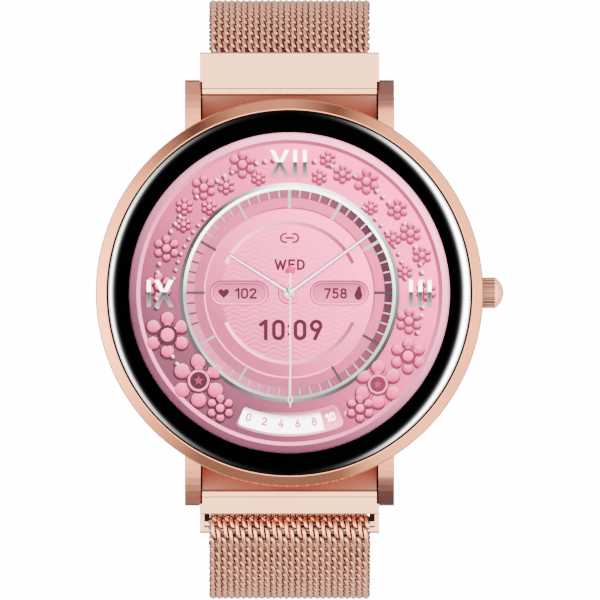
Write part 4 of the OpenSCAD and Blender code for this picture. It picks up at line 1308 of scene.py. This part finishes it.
def make_second_hand():
    z = DIAL_Z
    x = 0.09
    sweep = Build()
    bar(sweep, (x, 2.2), (x, -11.3), 0.2, 0.2, z + 0.38, z + 0.41, z + 0.43)
    prism(sweep, [[x, -13.05], [x + 0.12, -12.45], [x + 0.35, -12.05], [x + 0.14, -11.6], [x, -11.2],
                  [x - 0.14, -11.6], [x - 0.35, -12.05], [x - 0.12, -12.45]], z + 0.38, z + 0.42)
    printed(sweep, "second_hand", (0.48, 0.36, 0.4), (0.6, 0.48, 0.52), glow=2.5, smooth_angle=15)
    inlay = Build()
    prism(inlay, [[x, -12.45], [x + 0.15, -12.05], [x, -11.55], [x - 0.15, -12.05]], z + 0.4, z + 0.435)
    printed(inlay, "second_hand_inlay", (0.35, 0.02, 0.08), (0.4, 0.025, 0.09))
    heart = Build()
    outline = [[2 * x - px, 5.3 - py] for px, py in heart_outline(x, 2.65, 1.12)]
    prism(heart, outline, z + 0.36, z + 0.44, 0.04)
    printed(heart, "second_hand_heart", (0.15, 0.012, 0.035), (0.55, 0.03, 0.12), reach=0.8, middle=(0, 2.6))


def make_hub():
    z = DIAL_Z
    for name, r, tone in (("outer", 1.29, (0.09, 0.012, 0.027)), ("inner", 0.91, (0.08, 0.01, 0.024))):
        ring([[r - 0.1, 0.15], [r, 0.15], [r, 0.2], [r - 0.05, 0.22], [r - 0.1, 0.2]], f"hub_{name}_ring",
             tone, (0.95, 0.13, 0.32), sides=64, reach=1.2)
    hub = Build()
    disc(hub, [[0.58, z + 0.38], [0.54, z + 0.42], [0.4, z + 0.44], [0.2, z + 0.45], [0, z + 0.45]],
         z + 0.2, 10)
    dial_piece(hub, "hand_hub", hub_facets(), 5)


def make_dial():
    make_rings()
    make_silver_ring()
    make_tracks()
    make_ticks()
    make_raised_ring()
    make_centre()
    make_pills()
    make_readouts()
    make_gauge()
    make_numerals()
    make_flowers()
    make_hands()


# ---------- the rest of the watch ----------

def crosswise(build, x0, x1, outline, side, end):
    """A plate across the strap: an outline in y and z, drawn out from x0 to x1, at one side and end."""
    count = len(outline)
    ys = [end * y for y, _ in outline]
    points = [[side * x, y, z] for x in (x0, x1) for y, (_, z) in zip(ys, outline)]
    faces = [list(range(count)), list(range(2 * count - 1, count - 1, -1))]
    faces += [[k, count + k, count + (k + 1) % count, (k + 1) % count] for k in range(count)]
    build.add(points, faces)


def make_gap_shades():
    """Black sheets of painted shade under the gaps beside the strap ends, and fillets that close the ends'
    shoulders.
    """
    # Painted shade: dark sheets stand where there is only shade in the gaps beside the strap ends
    gap_shade = Build()
    for side in (-1, 1):
        for end in (-1, 1):
            crosswise(gap_shade, 9.88, 10.03, [(19.3, 1.0), (22.3, 0.8), (23.25, 1.2), (23.9, 1.95),
                                            (23.75, 2.1), (23.1, 1.4), (22.3, 1.1), (19.3, 1.3)], side, end)
    shade_black = moulded("gap_shade_black", (0.002, 0.0015, 0.0015), (0.003, 0.002, 0.002), (0.6, 0.7),
                    Specular_IOR_Level=0.0)
    piece = gap_shade.make("lug_gap_shades", shade_black, 30)
    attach(piece, "case")
    fillet = link_metal()
    for end, body in ((1, "strap_upper"), (-1, "strap_lower")):
        shoulders = Build()
        for side in (-1, 1):
            crosswise(shoulders, 9.78, 10.1, [(23.77, 4.45), (24.3, 4.45), (24.3, 5.46), (23.77, 5.46)],
                      side, end)
        piece = shoulders.make(f"shoulder_fillets_{body}", fillet, 30)
        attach(piece, body)


def dress_cad_nodes():
    materials = case_materials()
    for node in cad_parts.values():
        for slot in node.material_slots:
            wanted = slot.material.name.split(".")[0]
            if wanted in materials:
                slot.material = materials[wanted]


# ---------- studio ----------

FRAME_W = 67.4                # width of the picture at the glass, in millimetres
LENS = 1600.0
SENSOR = 36.0
VIEW_X, VIEW_Y = 1.18, -0.81  # middle of the picture


def make_camera():
    data = bpy.data.cameras.new("camera")
    data.lens = LENS
    data.sensor_width = SENSOR
    data.clip_end = 100
    camera = bpy.data.objects.new("camera", data)
    distance = FRAME_W * LENS / SENSOR
    camera.location = (VIEW_X * MM, VIEW_Y * MM, (GLASS_TOP + distance) * MM)
    bpy.context.scene.collection.objects.link(camera)
    bpy.context.scene.camera = camera


PALE = 16.0                   # brightness of the plain surroundings as the camera sees them
FLEX_ROOM = 2.0               # the loop reaches this much lower when the strap opens


def make_floor():
    """A wide floor, as low as the open strap reaches.

    The camera sees it evenly pale; it throws little light back under the watch.
    """
    radius = 1500
    build = Build()
    z = FLOOR_Z - FLEX_ROOM
    disc(build, [[radius, z], [radius * 0.5, z], [0, z]], z - 5, 96)
    s = Shader("floor_white", Roughness=0.8)
    s.colour(s.ramp(s.noise(3.0), [(0.3, (0.25, 0.245, 0.24)), (0.7, (0.29, 0.285, 0.28))]))
    path = s.node("ShaderNodeLightPath")
    s.bsdf.inputs["Emission Color"].default_value = (1, 1, 1, 1)
    s.link(s.between(path.outputs["Is Camera Ray"], 0, 1, 0, PALE - 1), s.bsdf.inputs["Emission Strength"])
    floor = build.make("floor", s.material)


TOP_LIGHT = 4.7
BRIGHTEST = 9.0               # the panels' scale
# Brightness of the studio's sides by direction: degrees from twelve o'clock, clockwise
SIDES = [
    (-180, 0.51), (-150, 0.45), (-135, 2.11), (-120, 4.51), (-105, 6.83), (-90, 6.62), (-75, 5.32),
    (-60, 3.61), (-45, 1.2), (-30, 0.03), (-15, 1.11), (0, 1.2), (15, 0.1), (30, 2.01), (45, 2.86),
    (60, 3.31), (75, 3.61), (90, 3.76), (105, 3.76), (120, 3.31), (135, 3.82), (150, 3.11), (163, 0.45),
    (180, 0.51),
]


def make_light():
    """Soft studio surroundings: panels of light on both sides, dark gaps between and a light overhead."""
    world = bpy.data.worlds.new("studio")
    bpy.context.scene.world = world
    world.use_nodes = True
    world.node_tree.nodes.clear()
    s = Nodes(world.node_tree)
    parts = s.split(s.node("ShaderNodeTexCoord").outputs["Generated"])
    turn = s.between(s.maths("ARCTAN2", parts["X"], parts["Y"]), -math.pi, math.pi)
    panels = s.ramp(turn, [(0.5 + degrees / 360, (level / BRIGHTEST,) * 3) for degrees, level in SIDES])
    over = s.between(parts["Z"], 0.55, 0.97, smooth=True)
    light = s.mixed(s.maths("MULTIPLY", panels, BRIGHTEST), TOP_LIGHT, over)
    light = s.mixed(light, PALE, s.node("ShaderNodeLightPath").outputs["Is Camera Ray"])
    background = s.node("ShaderNodeBackground")
    s.link(s.ramp(s.between(light, 0.0, 2.0), [(0.0, (0.92, 1.0, 1.5)), (1.0, (1, 1, 1))]),
           background.inputs["Color"])
    s.link(light, background.inputs["Strength"])
    s.link(background.outputs[0], s.node("ShaderNodeOutputWorld").inputs["Surface"])


make_camera()
make_light()
make_floor()
dress_cad_nodes()
make_band()
make_gap_shades()
make_dial()
